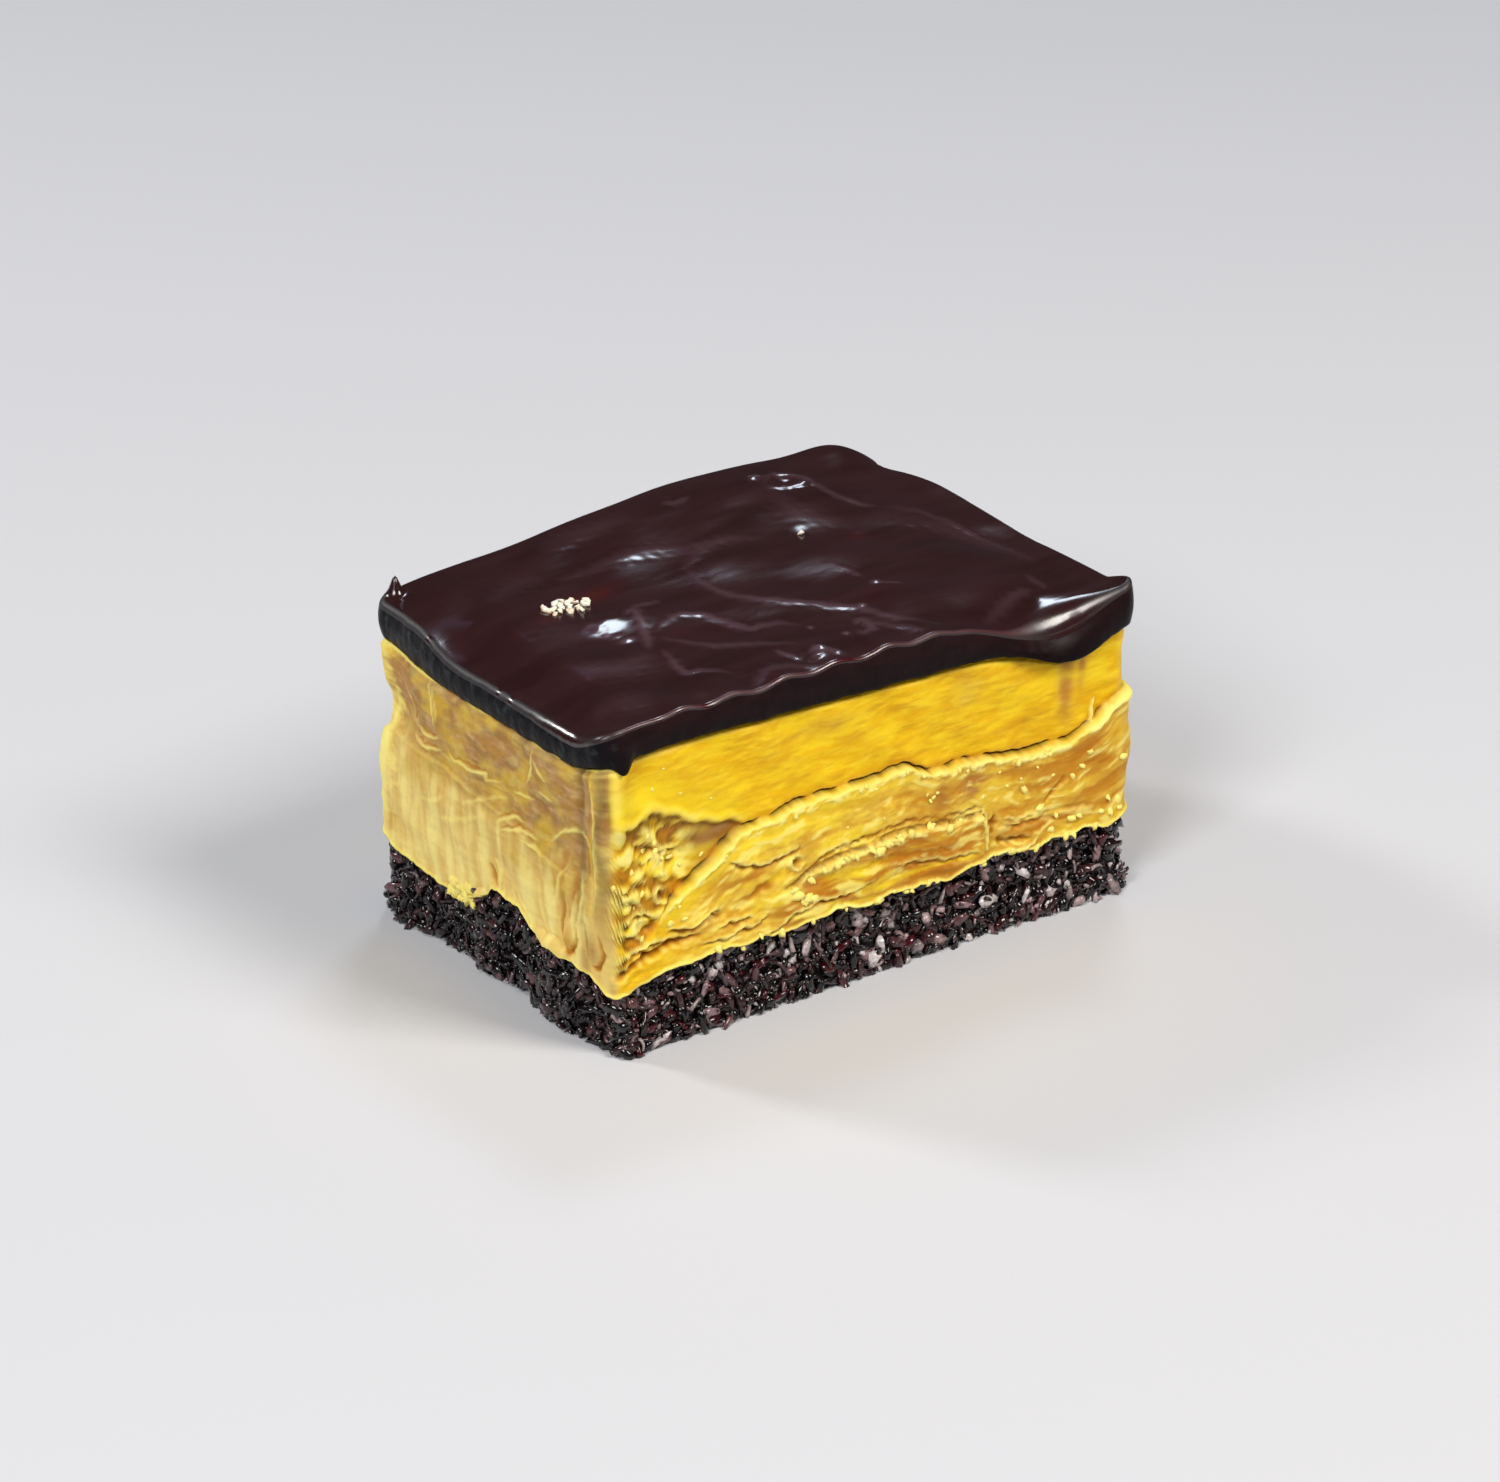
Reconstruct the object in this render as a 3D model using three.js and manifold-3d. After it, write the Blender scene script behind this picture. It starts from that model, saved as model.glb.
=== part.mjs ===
// Nanaimo bar: a cut block of three layers, a crumb base, a thick custard filling and a chocolate
// top that sags over one long edge. Millimetres, +Z up, origin under the middle of the block.
// The long front face looks along -Y and the short left face along -X.

import * as THREE from 'three';
import { mergeVertices } from 'three/addons/utils/BufferGeometryUtils.js';
import Module from 'manifold-3d';

const wasm = await Module();
wasm.setup();

// Driving dimensions of the block
const LENGTH = 61;
const WIDTH = 38.6;
const CORNER_RADIUS = 2.2;
const BASE_HEIGHT = 8.8;
const CUSTARD_TOP = 30.2;
const CHOCOLATE_TOP = 34.4;
const LAYER_GAP = 0.3;

// Mounds of the surfaces where layers meet. Each has its height, negative for a hollow, and its
// middle and spread along x and y. One without an x or a y runs right across the block.
const BASE_LEFT_MOUNDS = {
  heap: { height: 3.5, y: -2.6, spreadY: 3.5 },
  notch: { height: -0.7, y: 6, spreadY: 1.8 },
  hollow: { height: -1.3, y: 9.5, spreadY: 5 },
  backRise: { height: 0.6, y: 18, spreadY: 2.5 },
};
const BASE_CORNER_MOUNDS = {
  frontLeft: { height: -2.5, x: -31, spreadX: 5, y: -20.5, spreadY: 4.5 },
  frontRight: { height: 0.5, x: 31, spreadX: 4, y: -20.5, spreadY: 6 },
};
const CUSTARD_SLOPE = -0.036;
const CUSTARD_MOUNDS = {
  frontLeft: { height: -0.5, x: -31, spreadX: 3.5, y: -20, spreadY: 4 },
  sagUnderScoop: { height: -2.2, x: 22.2, spreadX: 5.5, y: -20, spreadY: 6 },
};
const CHOCOLATE_MOUNDS = {
  dome: { height: 1.9, x: 5, spreadX: 20, y: 17, spreadY: 13 },
  scoop: { height: -2.9, x: 16.8, spreadX: 6, y: -20.5, spreadY: 4.2 },
  backDip: { height: -2.4, x: 31, spreadX: 6, y: 15.5, spreadY: 5.5 },
  backCorner: { height: 1.3, x: 22.5, spreadX: 4.5, y: 20, spreadY: 5 },
  leftPeak: { height: 2.4, x: -31.5, spreadX: 2, y: 19.5, spreadY: 2 },
  rightPeak: { height: 1, x: 31.5, spreadX: 2, y: -20.5, spreadY: 2 },
};
const CUSTARD_LEFT_FALL = 2.4;
const CHOCOLATE_LEFT_FALL = 1.9;
const CHOCOLATE_RIGHT_FALL = 1.3;
const SWIRL_HEIGHT = 0.28;
const RIPPLE_HEIGHT = 0.24;

// How far each layer's side stands out from the plan on each face
const BASE_LEAN = { front: -0.1, back: 0.1, left: -0.4, right: 0.1 };
const BASE_FOOT = { front: 1.05, back: 0.5, left: 1.55, right: 1.1 };
const CUSTARD_LEAN = { front: 0.35, back: 0.3, left: 0, right: 0.2 };
const CHOCOLATE_LEAN = { front: 0.7, back: 0.7, left: 1.2, right: 0.5 };
const FRONT_SLANT = 0.02;

// Custard side: the torn part below the ledge stands out, and a lip droops over the base
const LEDGE_DEPTH = 0.9;
const LOWER_LEDGE = { depth: 0.45, z: 13.6 };
const BELLY = { depth: 0.75, z: 15.5, spread: 6 };
const NECK = { depth: 0.65, z: 23.2, spread: 2.4 };
const DRAG_MARKS = { depth: 0.24, spacing: 4.6, top: 18 };
const CORNER_BEAD_DEPTH = 0.45;
const LUMP_DEPTH = 0.22;
const LIP_DROP = 0.55;
const LIP_OVERHANG = 0.45;

// Chocolate side: a rounded rim that bulges beside the scoop, and a back corner cut short
const RIM_ROUNDING = 0.55;
const RIM_BULGE = 0.4;
const SAG_BULGE = 1.05;
const CORNER_CUT = 3.8;

// Crumbs that are fused on: half sizes, how long they may be, and how rough the base is between them
const BASE_CRUMBS = 56;
const BASE_CRUMB_SIZE = 0.95;
const CRUMB_STRETCH = 1.35;
const BASE_ROUGHNESS = 0.32;
const PALE_CRUMB_SIZE = 0.7;
const PALE_CRUMBS = [[-19.3, 6.4], [-18.1, 7.2], [-17.6, 5.9], [-16.4, 6.6], [-18.6, 5.5]];
const FLECK_SIZE = 0.6;
const FLECK = [10.7, 6.8];
const CUSTARD_CRUMB_SIZE = 0.62;
const CUSTARD_CRUMBS = [
  { y: 4.6, above: 0.5 },
  { y: 5.7, above: 0.2 },
  { y: 6.8, above: 0.6 },
  { y: 5.5, above: 1.3 },
];
const SEED = 7;

// Mesh fineness: columns run round the block
const COLUMNS = 120;

const COLOURS = { crumb: 0x2a1b1e, custard: 0xe0b53a, chocolate: 0x3a2526 };

// Small shape functions: a hump of height 1 at a centre, a smooth step from 0 to 1, a blend, a wave
const hump = (value, centre, spread) => Math.exp(-(((value - centre) / spread) ** 2));
const step = (value, from, to) => THREE.MathUtils.smoothstep(value, from, to);
const mix = THREE.MathUtils.lerp;
const wave = (value, phase = 0) => Math.sin(value + phase);

function mound({ height, x = 0, spreadX = Infinity, y = 0, spreadY = Infinity }, atX, atY) {
  return height * hump(atX, x, spreadX) * hump(atY, y, spreadY);
}

const relief = (mounds, x, y) => Object.values(mounds).reduce((sum, one) => sum + mound(one, x, y), 0);

// A repeatable random draw between 0 and 1
function makeDraw(seed) {
  let state = seed;
  return () => {
    state = (state * 16807) % 2147483647;
    return state / 2147483647;
  };
}

// The block's plan: a rounded rectangle walked anticlockwise, with the outward direction at each point
function makePlan() {
  const plan = new THREE.Path();
  const x = LENGTH / 2 - CORNER_RADIUS;
  const y = WIDTH / 2 - CORNER_RADIUS;
  plan.absarc(x, y, CORNER_RADIUS, 0, Math.PI / 2);
  plan.absarc(-x, y, CORNER_RADIUS, Math.PI / 2, Math.PI);
  plan.absarc(-x, -y, CORNER_RADIUS, Math.PI, 1.5 * Math.PI);
  plan.absarc(x, -y, CORNER_RADIUS, 1.5 * Math.PI, 2 * Math.PI);
  plan.closePath();
  return plan;
}

const plan = makePlan();

function rimAt(turn) {
  const point = plan.getPoint(turn);
  const along = plan.getTangent(turn);
  return { x: point.x, y: point.y, outX: along.y, outY: -along.x };
}

// How much of a point's outward direction belongs to each face
function facing(rim) {
  const share = (amount) => Math.max(0, amount) ** 2;
  return {
    front: share(-rim.outY),
    back: share(rim.outY),
    left: share(-rim.outX),
    right: share(rim.outX),
  };
}

// A value given for each face, blended round the corners
const byFace = (face, values) => (
  face.front * values.front + face.back * values.back + face.left * values.left + face.right * values.right
);

// Crumb base: nearly level, heaped up in the middle of the left face and low beside that heap
function baseTop(x, y) {
  const nearLeft = 1 - step(x, -28, -15);
  const nearFront = 1 - step(y, -18, -9);
  const heaped = relief(BASE_LEFT_MOUNDS, x, y) * nearLeft + relief(BASE_CORNER_MOUNDS, x, y);
  const ripple = (0.22 * wave(x * 0.62) + 0.16 * wave(x * 1.27, 1)) * nearFront;
  return BASE_HEIGHT + heaped + ripple + 0.15 * wave(y * 0.5 + x * 0.3);
}

// Custard: falls gently to the right, sags under the scoop, and is lower along the left face
function custardTop(x, y) {
  const leftFall = CUSTARD_LEFT_FALL * step(y, -20.5, -14) * (1 - 0.35 * step(y, 8, 20)) * hump(x, -31.5, 7);
  return CUSTARD_TOP + CUSTARD_SLOPE * x + relief(CUSTARD_MOUNDS, x, y) - leftFall;
}

// Chocolate: poured surface with a dome towards the back right, soft swirls and a rippled front edge
function chocolateTop(x, y) {
  const leftFall = CHOCOLATE_LEFT_FALL * step(y, -21, -14.5) * (1 - 0.6 * step(y, 4, 12)) * hump(x, -32, 4.5);
  const rightFall = CHOCOLATE_RIGHT_FALL * step(x, 13, 27) * (1 - step(y, -6, 16));
  const swirl = SWIRL_HEIGHT * wave(0.42 * x + 2.1 * wave(0.16 * y, 0.6)) * wave(0.33 * y - 0.12 * x);
  const frontEdge = hump(y, -20, 3.5) * step(x, -28, -22) * (1 - step(x, 4, 12));
  const ripple = RIPPLE_HEIGHT * wave(x * 1.05, 0.8) * frontEdge;
  return CHOCOLATE_TOP + relief(CHOCOLATE_MOUNDS, x, y) - leftFall - rightFall + swirl + ripple;
}

// Where the custard's torn ledge runs. On the front it climbs in a curve, falls gently towards the
// right and turns up again at the end.
function ledgeHeight(rim, face) {
  const crest = { x: -5.7, z: 21.9 };
  const climb = Math.max(12.8, crest.z - 0.0255 * Math.min(0, rim.x - crest.x) ** 2);
  return byFace(face, {
    front: climb - 0.125 * Math.max(0, rim.x - crest.x) + 0.55 * Math.max(0, rim.x - 22.3),
    back: 17.4 + 1.6 * wave(rim.x * 0.13, 0.5),
    left: 17.5 + 3.5 * step(rim.y, -18, 8),
    right: 22.1 - 3.6 * step(rim.y, -18, 2),
  });
}

function tornShelf(rim, face, z, ledge) {
  const share = byFace(face, {
    front: step(rim.x, -27, -21),
    back: 0.8,
    left: 0.45 * step(rim.y, -17, -12),
    right: 0.85,
  });
  const fading = 0.6 + 0.4 * Math.exp((z - ledge) / 2.2);
  const upper = LEDGE_DEPTH * share * step(ledge - z, -0.3, 0.3) * fading;
  const lower = LOWER_LEDGE.depth * face.front * step(LOWER_LEDGE.z - z, -0.4, 0.6)
    * step(rim.x, -15, -10) * (1 - 0.6 * step(rim.x, 8, 9.5));
  return upper + lower;
}

// A soft vertical bead of custard down the front left corner
function cornerBead(rim, z) {
  const atCorner = hump(rim.x, 0.4 - LENGTH / 2, 1.4) * hump(rim.y, 0.4 - WIDTH / 2, 1.4);
  return CORNER_BEAD_DEPTH * atCorner * (0.7 + 0.3 * wave(z * 0.9));
}

function custardSide(rim, face, z, ledge) {
  const backBelly = 0.6 * hump(rim.x, 24, 9);
  const belly = BELLY.depth * hump(z, BELLY.z, BELLY.spread)
    * byFace(face, { front: 0, back: backBelly, left: 0.65, right: 1 });
  const neck = NECK.depth * hump(z, NECK.z, NECK.spread)
    * byFace(face, { front: 0, back: 0.5, left: step(rim.y, 8, 17), right: 1 });
  const drag = DRAG_MARKS.depth * face.left * wave((2 * Math.PI * rim.y) / DRAG_MARKS.spacing)
    * step(DRAG_MARKS.top - z, 0, 5);
  const lean = byFace(face, CUSTARD_LEAN) + face.left * 0.05 * z + face.front * FRONT_SLANT * rim.x;
  const lumps = LUMP_DEPTH * wave(rim.x * 0.7 + z * 0.5) * wave(rim.y * 0.6 - z * 0.35, 1);
  return lean + tornShelf(rim, face, z, ledge) + belly - neck + drag + lumps + cornerBead(rim, z);
}

function baseSide(rim, face, z) {
  const spread = byFace(face, { ...BASE_FOOT, left: BASE_FOOT.left * step(rim.y, 10, 17) });
  const foot = spread * step(5.5 - z, 0, 5.5);
  const slant = face.front * (FRONT_SLANT * rim.x + 0.35 * step(rim.x, 14, 22));
  const wander = 0.9 * hump(rim.y, 2, 2.2) + 1.4 * hump(rim.y, -10.5, 4) + 0.7 * hump(rim.y, 17, 4);
  return byFace(face, BASE_LEAN) + foot + slant + face.left * wander;
}

function chocolateSide(rim, face, level) {
  const bulge = RIM_BULGE * Math.sin(Math.PI * Math.min(1, 0.15 + level * 0.75));
  const sagging = SAG_BULGE * hump(rim.x, 23, 5.5) * (1 - 0.75 * level);
  const scooped = 0.7 * hump(rim.x, CHOCOLATE_MOUNDS.scoop.x, CHOCOLATE_MOUNDS.scoop.spreadX) * level;
  const lean = byFace(face, CHOCOLATE_LEAN) + 0.35 * face.left * level - 1.1 * face.right * level
    + 1.1 * face.back * hump(rim.x, 8, 13);
  const cutCorner = CORNER_CUT * hump(rim.x, 31, 5.5) * hump(rim.y, 19.5, 7) * mix(0.4, 1, level);
  return lean + bulge + face.front * (FRONT_SLANT * rim.x + sagging - scooped) - cutCorner;
}

// Turns a profile round the block. Each row of the profile is { reach, level }: reach is 0 at the
// middle and 1 at the side, and level climbs from 0 to 1. The shaper puts each vertex in its place.
function turnLayer(rows, shaper) {
  const profile = rows.map((row) => new THREE.Vector2(row.reach, row.level));
  const lathe = new THREE.LatheGeometry(profile, COLUMNS);
  const position = lathe.getAttribute('position');
  for (let i = 0; i < position.count; i += 1) {
    const angle = Math.atan2(position.getX(i), position.getZ(i));
    const column = Math.round((angle / (2 * Math.PI) + 1) * COLUMNS) % COLUMNS;
    const reach = Math.hypot(position.getX(i), position.getZ(i));
    const rim = rimAt(column / COLUMNS);
    const place = shaper(rim, facing(rim), reach, position.getY(i));
    position.setXYZ(i, place.x, place.y, place.z);
  }
  return closed(lathe);
}

function closed(geometry) {
  geometry.deleteAttribute('normal');
  geometry.deleteAttribute('uv');
  return mergeVertices(geometry, 1e-4);
}

const outside = (rim, offset, z) => ({ x: rim.x + rim.outX * offset, y: rim.y + rim.outY * offset, z });

const inside = (rim, reach, surface, lift) => {
  const x = rim.x * reach;
  const y = rim.y * reach;
  return { x, y, z: surface(x, y) + lift };
};

// Rows from the middle of the underside, out to the rim, up the side and back over the top
function profileRows(under, side, over) {
  return [
    ...under.map((reach) => ({ reach, level: 0 })),
    ...side.map((level) => ({ reach: 1, level })),
    ...over.map((reach) => ({ reach, level: 1 })),
  ];
}

const SIDE_LIMIT = 0.999;
const onSide = (reach) => reach > SIDE_LIMIT;

// Crumb base: flat underside, and rough sides that tuck in at the top and the bottom
function crumbBase() {
  const draw = makeDraw(SEED);
  const roughness = new Map();
  const rough = (rim, level) => {
    const key = `${rim.x.toFixed(3)} ${rim.y.toFixed(3)} ${level.toFixed(3)}`;
    if (!roughness.has(key)) roughness.set(key, (draw() - 0.5) * 2 * BASE_ROUGHNESS);
    return roughness.get(key);
  };
  const side = [0.05, 0.2, 0.36, 0.52, 0.68, 0.84, 1];
  const rows = profileRows([0, 0.5, 0.975], side, [0.93, 0.78, 0.5, 0]);
  return turnLayer(rows, (rim, face, reach, level) => {
    if (!onSide(reach)) return inside(rim, reach, level < 0.5 ? () => 0 : baseTop, 0);
    const z = baseTop(rim.x, rim.y) * level;
    const bump = level < 1 ? rough(rim, level) : 0;
    const tuck = 0.35 * (step(level, 0.8, 1) + step(0.12 - level, 0, 0.1));
    return outside(rim, baseSide(rim, face, z) + bump - tuck, z);
  });
}

// Custard filling: its underside lies on the base, turns down round the base's rim and ends in a
// drooping lip. One pair of rows follows the torn ledge, just under and just over it.
const SEAT_ROW = 0.001;
const LIP_ROW = 0.01;
const LEDGE_ROWS = [0.49, 0.51];
const LEDGE_HALF_HEIGHT = 0.3;

function custardRowHeight(level, lip, ledge, top) {
  const [under, over] = LEDGE_ROWS;
  if (level <= under) return mix(lip, ledge - LEDGE_HALF_HEIGHT, level / under);
  return mix(ledge + LEDGE_HALF_HEIGHT, top, (level - over) / (1 - over));
}

function custardFilling() {
  const side = [SEAT_ROW, LIP_ROW, 0.1, 0.2, 0.3, 0.4, ...LEDGE_ROWS, 0.62, 0.74, 0.87, 1];
  const rows = profileRows([0, 0.5, 0.78, 0.93], side, [0.93, 0.6, 0]);
  return turnLayer(rows, (rim, face, reach, level) => {
    const underneath = level < 0.5;
    if (!onSide(reach)) {
      return underneath ? inside(rim, reach, baseTop, LAYER_GAP) : inside(rim, reach, custardTop, 0);
    }
    const seat = baseTop(rim.x, rim.y) + LAYER_GAP;
    const wall = baseSide(rim, face, seat) + LAYER_GAP;
    if (level < LIP_ROW / 2) return outside(rim, wall, seat);
    const lip = seat - LIP_DROP;
    const ledge = ledgeHeight(rim, face);
    const z = Math.max(lip, custardRowHeight(level, lip, ledge, custardTop(rim.x, rim.y)));
    const out = custardSide(rim, face, z, ledge);
    return outside(rim, level < 2 * LIP_ROW ? Math.max(wall + LIP_OVERHANG, out) : out, z);
  });
}

// Chocolate top: lies on the custard, with a rounded rim
function chocolateTopLayer() {
  const over = [0.965, 0.92, 0.83, 0.7, 0.56, 0.42, 0.28, 0.14, 0];
  const rows = profileRows([0, 0.6, 0.93], [0, 0.25, 0.5, 0.75, 0.9, 1], over);
  return turnLayer(rows, (rim, face, reach, level) => {
    const underneath = level < 0.5;
    if (!onSide(reach)) {
      return underneath ? inside(rim, reach, custardTop, LAYER_GAP) : inside(rim, reach, chocolateTop, 0);
    }
    const out = chocolateSide(rim, face, level);
    const edge = outside(rim, out, 0);
    const bottom = custardTop(rim.x, rim.y) + LAYER_GAP;
    const z = mix(bottom, chocolateTop(edge.x, edge.y), level);
    return outside(rim, out - RIM_ROUNDING * step(level, 0.9, 1), z);
  });
}

// From a three.js mesh to a solid that can be joined, without triangles that merging has closed up
function toSolid(geometry) {
  const index = geometry.index.array;
  const corners = [];
  for (let i = 0; i < index.length; i += 3) {
    const [a, b, c] = index.slice(i, i + 3);
    if (a !== b && b !== c && c !== a) corners.push(a, b, c);
  }
  return new wasm.Manifold(new wasm.Mesh({
    numProp: 3,
    vertProperties: geometry.getAttribute('position').array,
    triVerts: new Uint32Array(corners),
  }));
}

function toGeometry(solid) {
  const mesh = solid.getMesh();
  const geometry = new THREE.BufferGeometry();
  geometry.setAttribute('position', new THREE.BufferAttribute(mesh.vertProperties, 3));
  geometry.setIndex(new THREE.BufferAttribute(mesh.triVerts, 1));
  return geometry;
}

// An uneven little lump of three half sizes, turned at random
function crumb(draw, centre, size) {
  const geometry = closed(new THREE.IcosahedronGeometry(1, 0));
  const long = mix(0.8, CRUMB_STRETCH, draw());
  const stretch = new THREE.Vector3(long, 0.65 + 0.35 * draw(), 0.55 + 0.35 * draw());
  const turned = new THREE.Euler(draw() * Math.PI, draw() * Math.PI, draw() * Math.PI);
  const matrix = new THREE.Matrix4().compose(
    centre,
    new THREE.Quaternion().setFromEuler(turned),
    stretch.multiplyScalar(size),
  );
  return toSolid(geometry.applyMatrix4(matrix));
}

const fuse = (body, lumps) => lumps.reduce((whole, lump) => whole.add(lump), body);

// The base's lowest top within a crumb's reach to either side of a point on the rim
function lowestTopBeside(rim, reach) {
  const tops = [-reach, 0, reach].map((along) => baseTop(rim.x - rim.outY * along, rim.y + rim.outX * along));
  return Math.min(...tops);
}

// Crumbs set round the base's sides at even steps, at three heights in turn
function crumbsOnBase() {
  const draw = makeDraw(SEED + 11);
  const heights = [0.24, 0.58, 0.41];
  return Array.from({ length: BASE_CRUMBS }, (_, i) => {
    const rim = rimAt((i + 0.35 * draw()) / BASE_CRUMBS);
    const size = BASE_CRUMB_SIZE * mix(0.8, 1.25, draw());
    const reach = size * CRUMB_STRETCH;
    const top = lowestTopBeside(rim, reach);
    const wanted = top * (heights[i % heights.length] + 0.08 * (draw() - 0.5));
    const z = THREE.MathUtils.clamp(wanted, reach + 0.1, top - LIP_DROP - reach);
    const spot = outside(rim, baseSide(rim, facing(rim), z) - 0.1, z);
    return crumb(draw, new THREE.Vector3(spot.x, spot.y, spot.z), size);
  });
}

// Pale crumbs that lie on the chocolate: a small group, and one fleck by itself
function crumbsOnChocolate() {
  const draw = makeDraw(SEED + 29);
  const lay = ([x, y], size) => crumb(draw, new THREE.Vector3(x, y, chocolateTop(x, y) + 0.1), size);
  const group = PALE_CRUMBS.map((place) => lay(place, PALE_CRUMB_SIZE * mix(0.9, 1.15, draw())));
  return [...group, lay(FLECK, FLECK_SIZE)];
}

// A little clump of custard crumbs on the lip at the left, beside the heap of base crumbs
function crumbsOnCustard() {
  const draw = makeDraw(SEED + 41);
  return CUSTARD_CRUMBS.map(({ y, above }) => {
    const rim = { x: -LENGTH / 2, y, outX: -1, outY: 0 };
    const z = baseTop(rim.x, y) + LAYER_GAP - LIP_DROP + above;
    const out = custardSide(rim, facing(rim), z, ledgeHeight(rim, facing(rim)));
    const centre = new THREE.Vector3(rim.x - out - 0.15, y, z);
    return crumb(draw, centre, CUSTARD_CRUMB_SIZE * mix(0.9, 1.1, draw()));
  });
}

function layerMesh(name, solid, colour, roughness) {
  const material = new THREE.MeshStandardMaterial({ color: colour, roughness, metalness: 0 });
  const mesh = new THREE.Mesh(toGeometry(solid), material);
  mesh.name = name;
  return mesh;
}

const base = fuse(toSolid(crumbBase()), crumbsOnBase());
const custard = fuse(toSolid(custardFilling()), crumbsOnCustard());
const chocolate = fuse(toSolid(chocolateTopLayer()), crumbsOnChocolate());

const bar = new THREE.Group();
bar.add(
  layerMesh('crumb_base', base, COLOURS.crumb, 0.7),
  layerMesh('custard_filling', custard, COLOURS.custard, 0.5),
  layerMesh('chocolate_top', chocolate, COLOURS.chocolate, 0.25),
);

export default bar;
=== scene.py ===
"""A nanaimo bar as real food: cocoa crumb base, torn custard filling and a glossy chocolate top.

Shapes are worked out in millimetres, in the part's own frame (+Z up, origin under the middle of the
block, front face along -Y, left face along -X), and put into the scene in metres.
"""

import math
from typing import NamedTuple

import bmesh
import bpy
import numpy as np
from mathutils import Euler, Matrix, Vector, noise


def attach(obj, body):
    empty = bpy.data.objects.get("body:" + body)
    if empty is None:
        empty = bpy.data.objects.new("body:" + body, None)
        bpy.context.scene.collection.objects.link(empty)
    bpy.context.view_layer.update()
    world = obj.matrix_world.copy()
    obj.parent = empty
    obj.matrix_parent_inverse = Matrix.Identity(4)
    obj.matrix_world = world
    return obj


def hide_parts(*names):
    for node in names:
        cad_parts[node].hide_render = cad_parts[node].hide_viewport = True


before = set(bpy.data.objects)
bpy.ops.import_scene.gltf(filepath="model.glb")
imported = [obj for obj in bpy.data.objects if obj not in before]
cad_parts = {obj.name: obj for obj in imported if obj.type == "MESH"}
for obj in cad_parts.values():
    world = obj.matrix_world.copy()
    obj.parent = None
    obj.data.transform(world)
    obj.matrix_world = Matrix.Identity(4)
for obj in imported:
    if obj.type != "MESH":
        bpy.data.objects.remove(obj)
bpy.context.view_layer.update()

MM = 0.001

# Driving dimensions of the block, as in the part. Only its corners are a little sharper.
LENGTH = 61
WIDTH = 38.6
CORNER_RADIUS = 1.5
BASE_HEIGHT = 8.8
CUSTARD_TOP = 30.2
CHOCOLATE_TOP = 34.4
LAYER_GAP = 0.3


class Mound(NamedTuple):
    """A mound on a level surface. One without an x or a y runs right across the block."""

    height: float
    x: float = 0
    spread_x: float = math.inf
    y: float = 0
    spread_y: float = math.inf


BASE_LEFT_MOUNDS = [
    Mound(3.5, y=-2.6, spread_y=3.5),
    Mound(-0.7, y=6, spread_y=1.8),
    Mound(-1.3, y=9.5, spread_y=5),
    Mound(0.6, y=18, spread_y=2.5),
]
BASE_CORNER_MOUNDS = [
    Mound(-2.5, x=-31, spread_x=5, y=-20.5, spread_y=4.5),
    Mound(0.5, x=31, spread_x=4, y=-20.5, spread_y=6),
]
CUSTARD_SLOPE = -0.036
CUSTARD_MOUNDS = [
    Mound(-0.5, x=-31, spread_x=3.5, y=-20, spread_y=4),
    Mound(-2.2, x=22.2, spread_x=5.5, y=-20, spread_y=6),
]
SCOOP = Mound(-2.9, x=16.8, spread_x=6, y=-20.5, spread_y=4.2)
CHOCOLATE_MOUNDS = [
    Mound(1.9, x=5, spread_x=20, y=17, spread_y=13),
    SCOOP,
    Mound(-2.3, x=31, spread_x=6.3, y=18.2, spread_y=5.5),
    Mound(1.85, x=25.3, spread_x=5, y=18.8, spread_y=4.6),
    Mound(0.8, x=31.5, spread_x=2, y=-20.5, spread_y=2),
]
LEFT_PEAK = Mound(1.9, x=-29.2, spread_x=0.6, y=18.8, spread_y=0.6)
# Where the chocolate's rim is wet enough to glint: how much, the place along that edge, and the spread
LEFT_GLINTS = [(1, -13.6, 4.6), (1, -4.6, 0.35), (0.8, -2.6, 0.3), (1, 9.4, 0.4)]
FRONT_GLINTS = [
    (0.5, -27.8, 1.6), (1, -25.7, 0.5), (1, -23.3, 0.5), (0.9, -20.2, 1.1), (0.8, -12.2, 0.9),
    (1, -5.4, 3.2), (0.7, -0.2, 2.2),
]
RIM_GLINTS = [
    *[Mound(much, x=-30.5, spread_x=2, y=place, spread_y=spread) for much, place, spread in LEFT_GLINTS],
    *[Mound(much, x=place, spread_x=spread, y=-19.3, spread_y=2) for much, place, spread in FRONT_GLINTS],
    Mound(1, x=22.6, spread_x=4.4, y=-19.3, spread_y=3),
]
CUSTARD_LEFT_FALL = 2.4
CHOCOLATE_LEFT_FALL = 1.9
CHOCOLATE_RIGHT_FALL = 1.3
SWIRL_HEIGHT = 0.28
RIPPLE_HEIGHT = 0.24

BASE_LEAN = {"front": -0.1, "back": 0.1, "left": -0.4, "right": 0.1}
BASE_FOOT = {"front": 1.05, "back": 0.5, "left": 0.8, "right": 1.1}
CUSTARD_LEAN = {"front": 0.35, "back": 0.3, "left": 0, "right": 0.2}
CHOCOLATE_LEAN = {"front": 0.7, "back": 0.7, "left": 1.2, "right": 0.5}
FRONT_SLANT = 0.02
LEDGE_DEPTH = 0.9
LIP_DROP = 0.55
LIP_OVERHANG = 0.45
HEAP_TOP = 11.2

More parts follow.
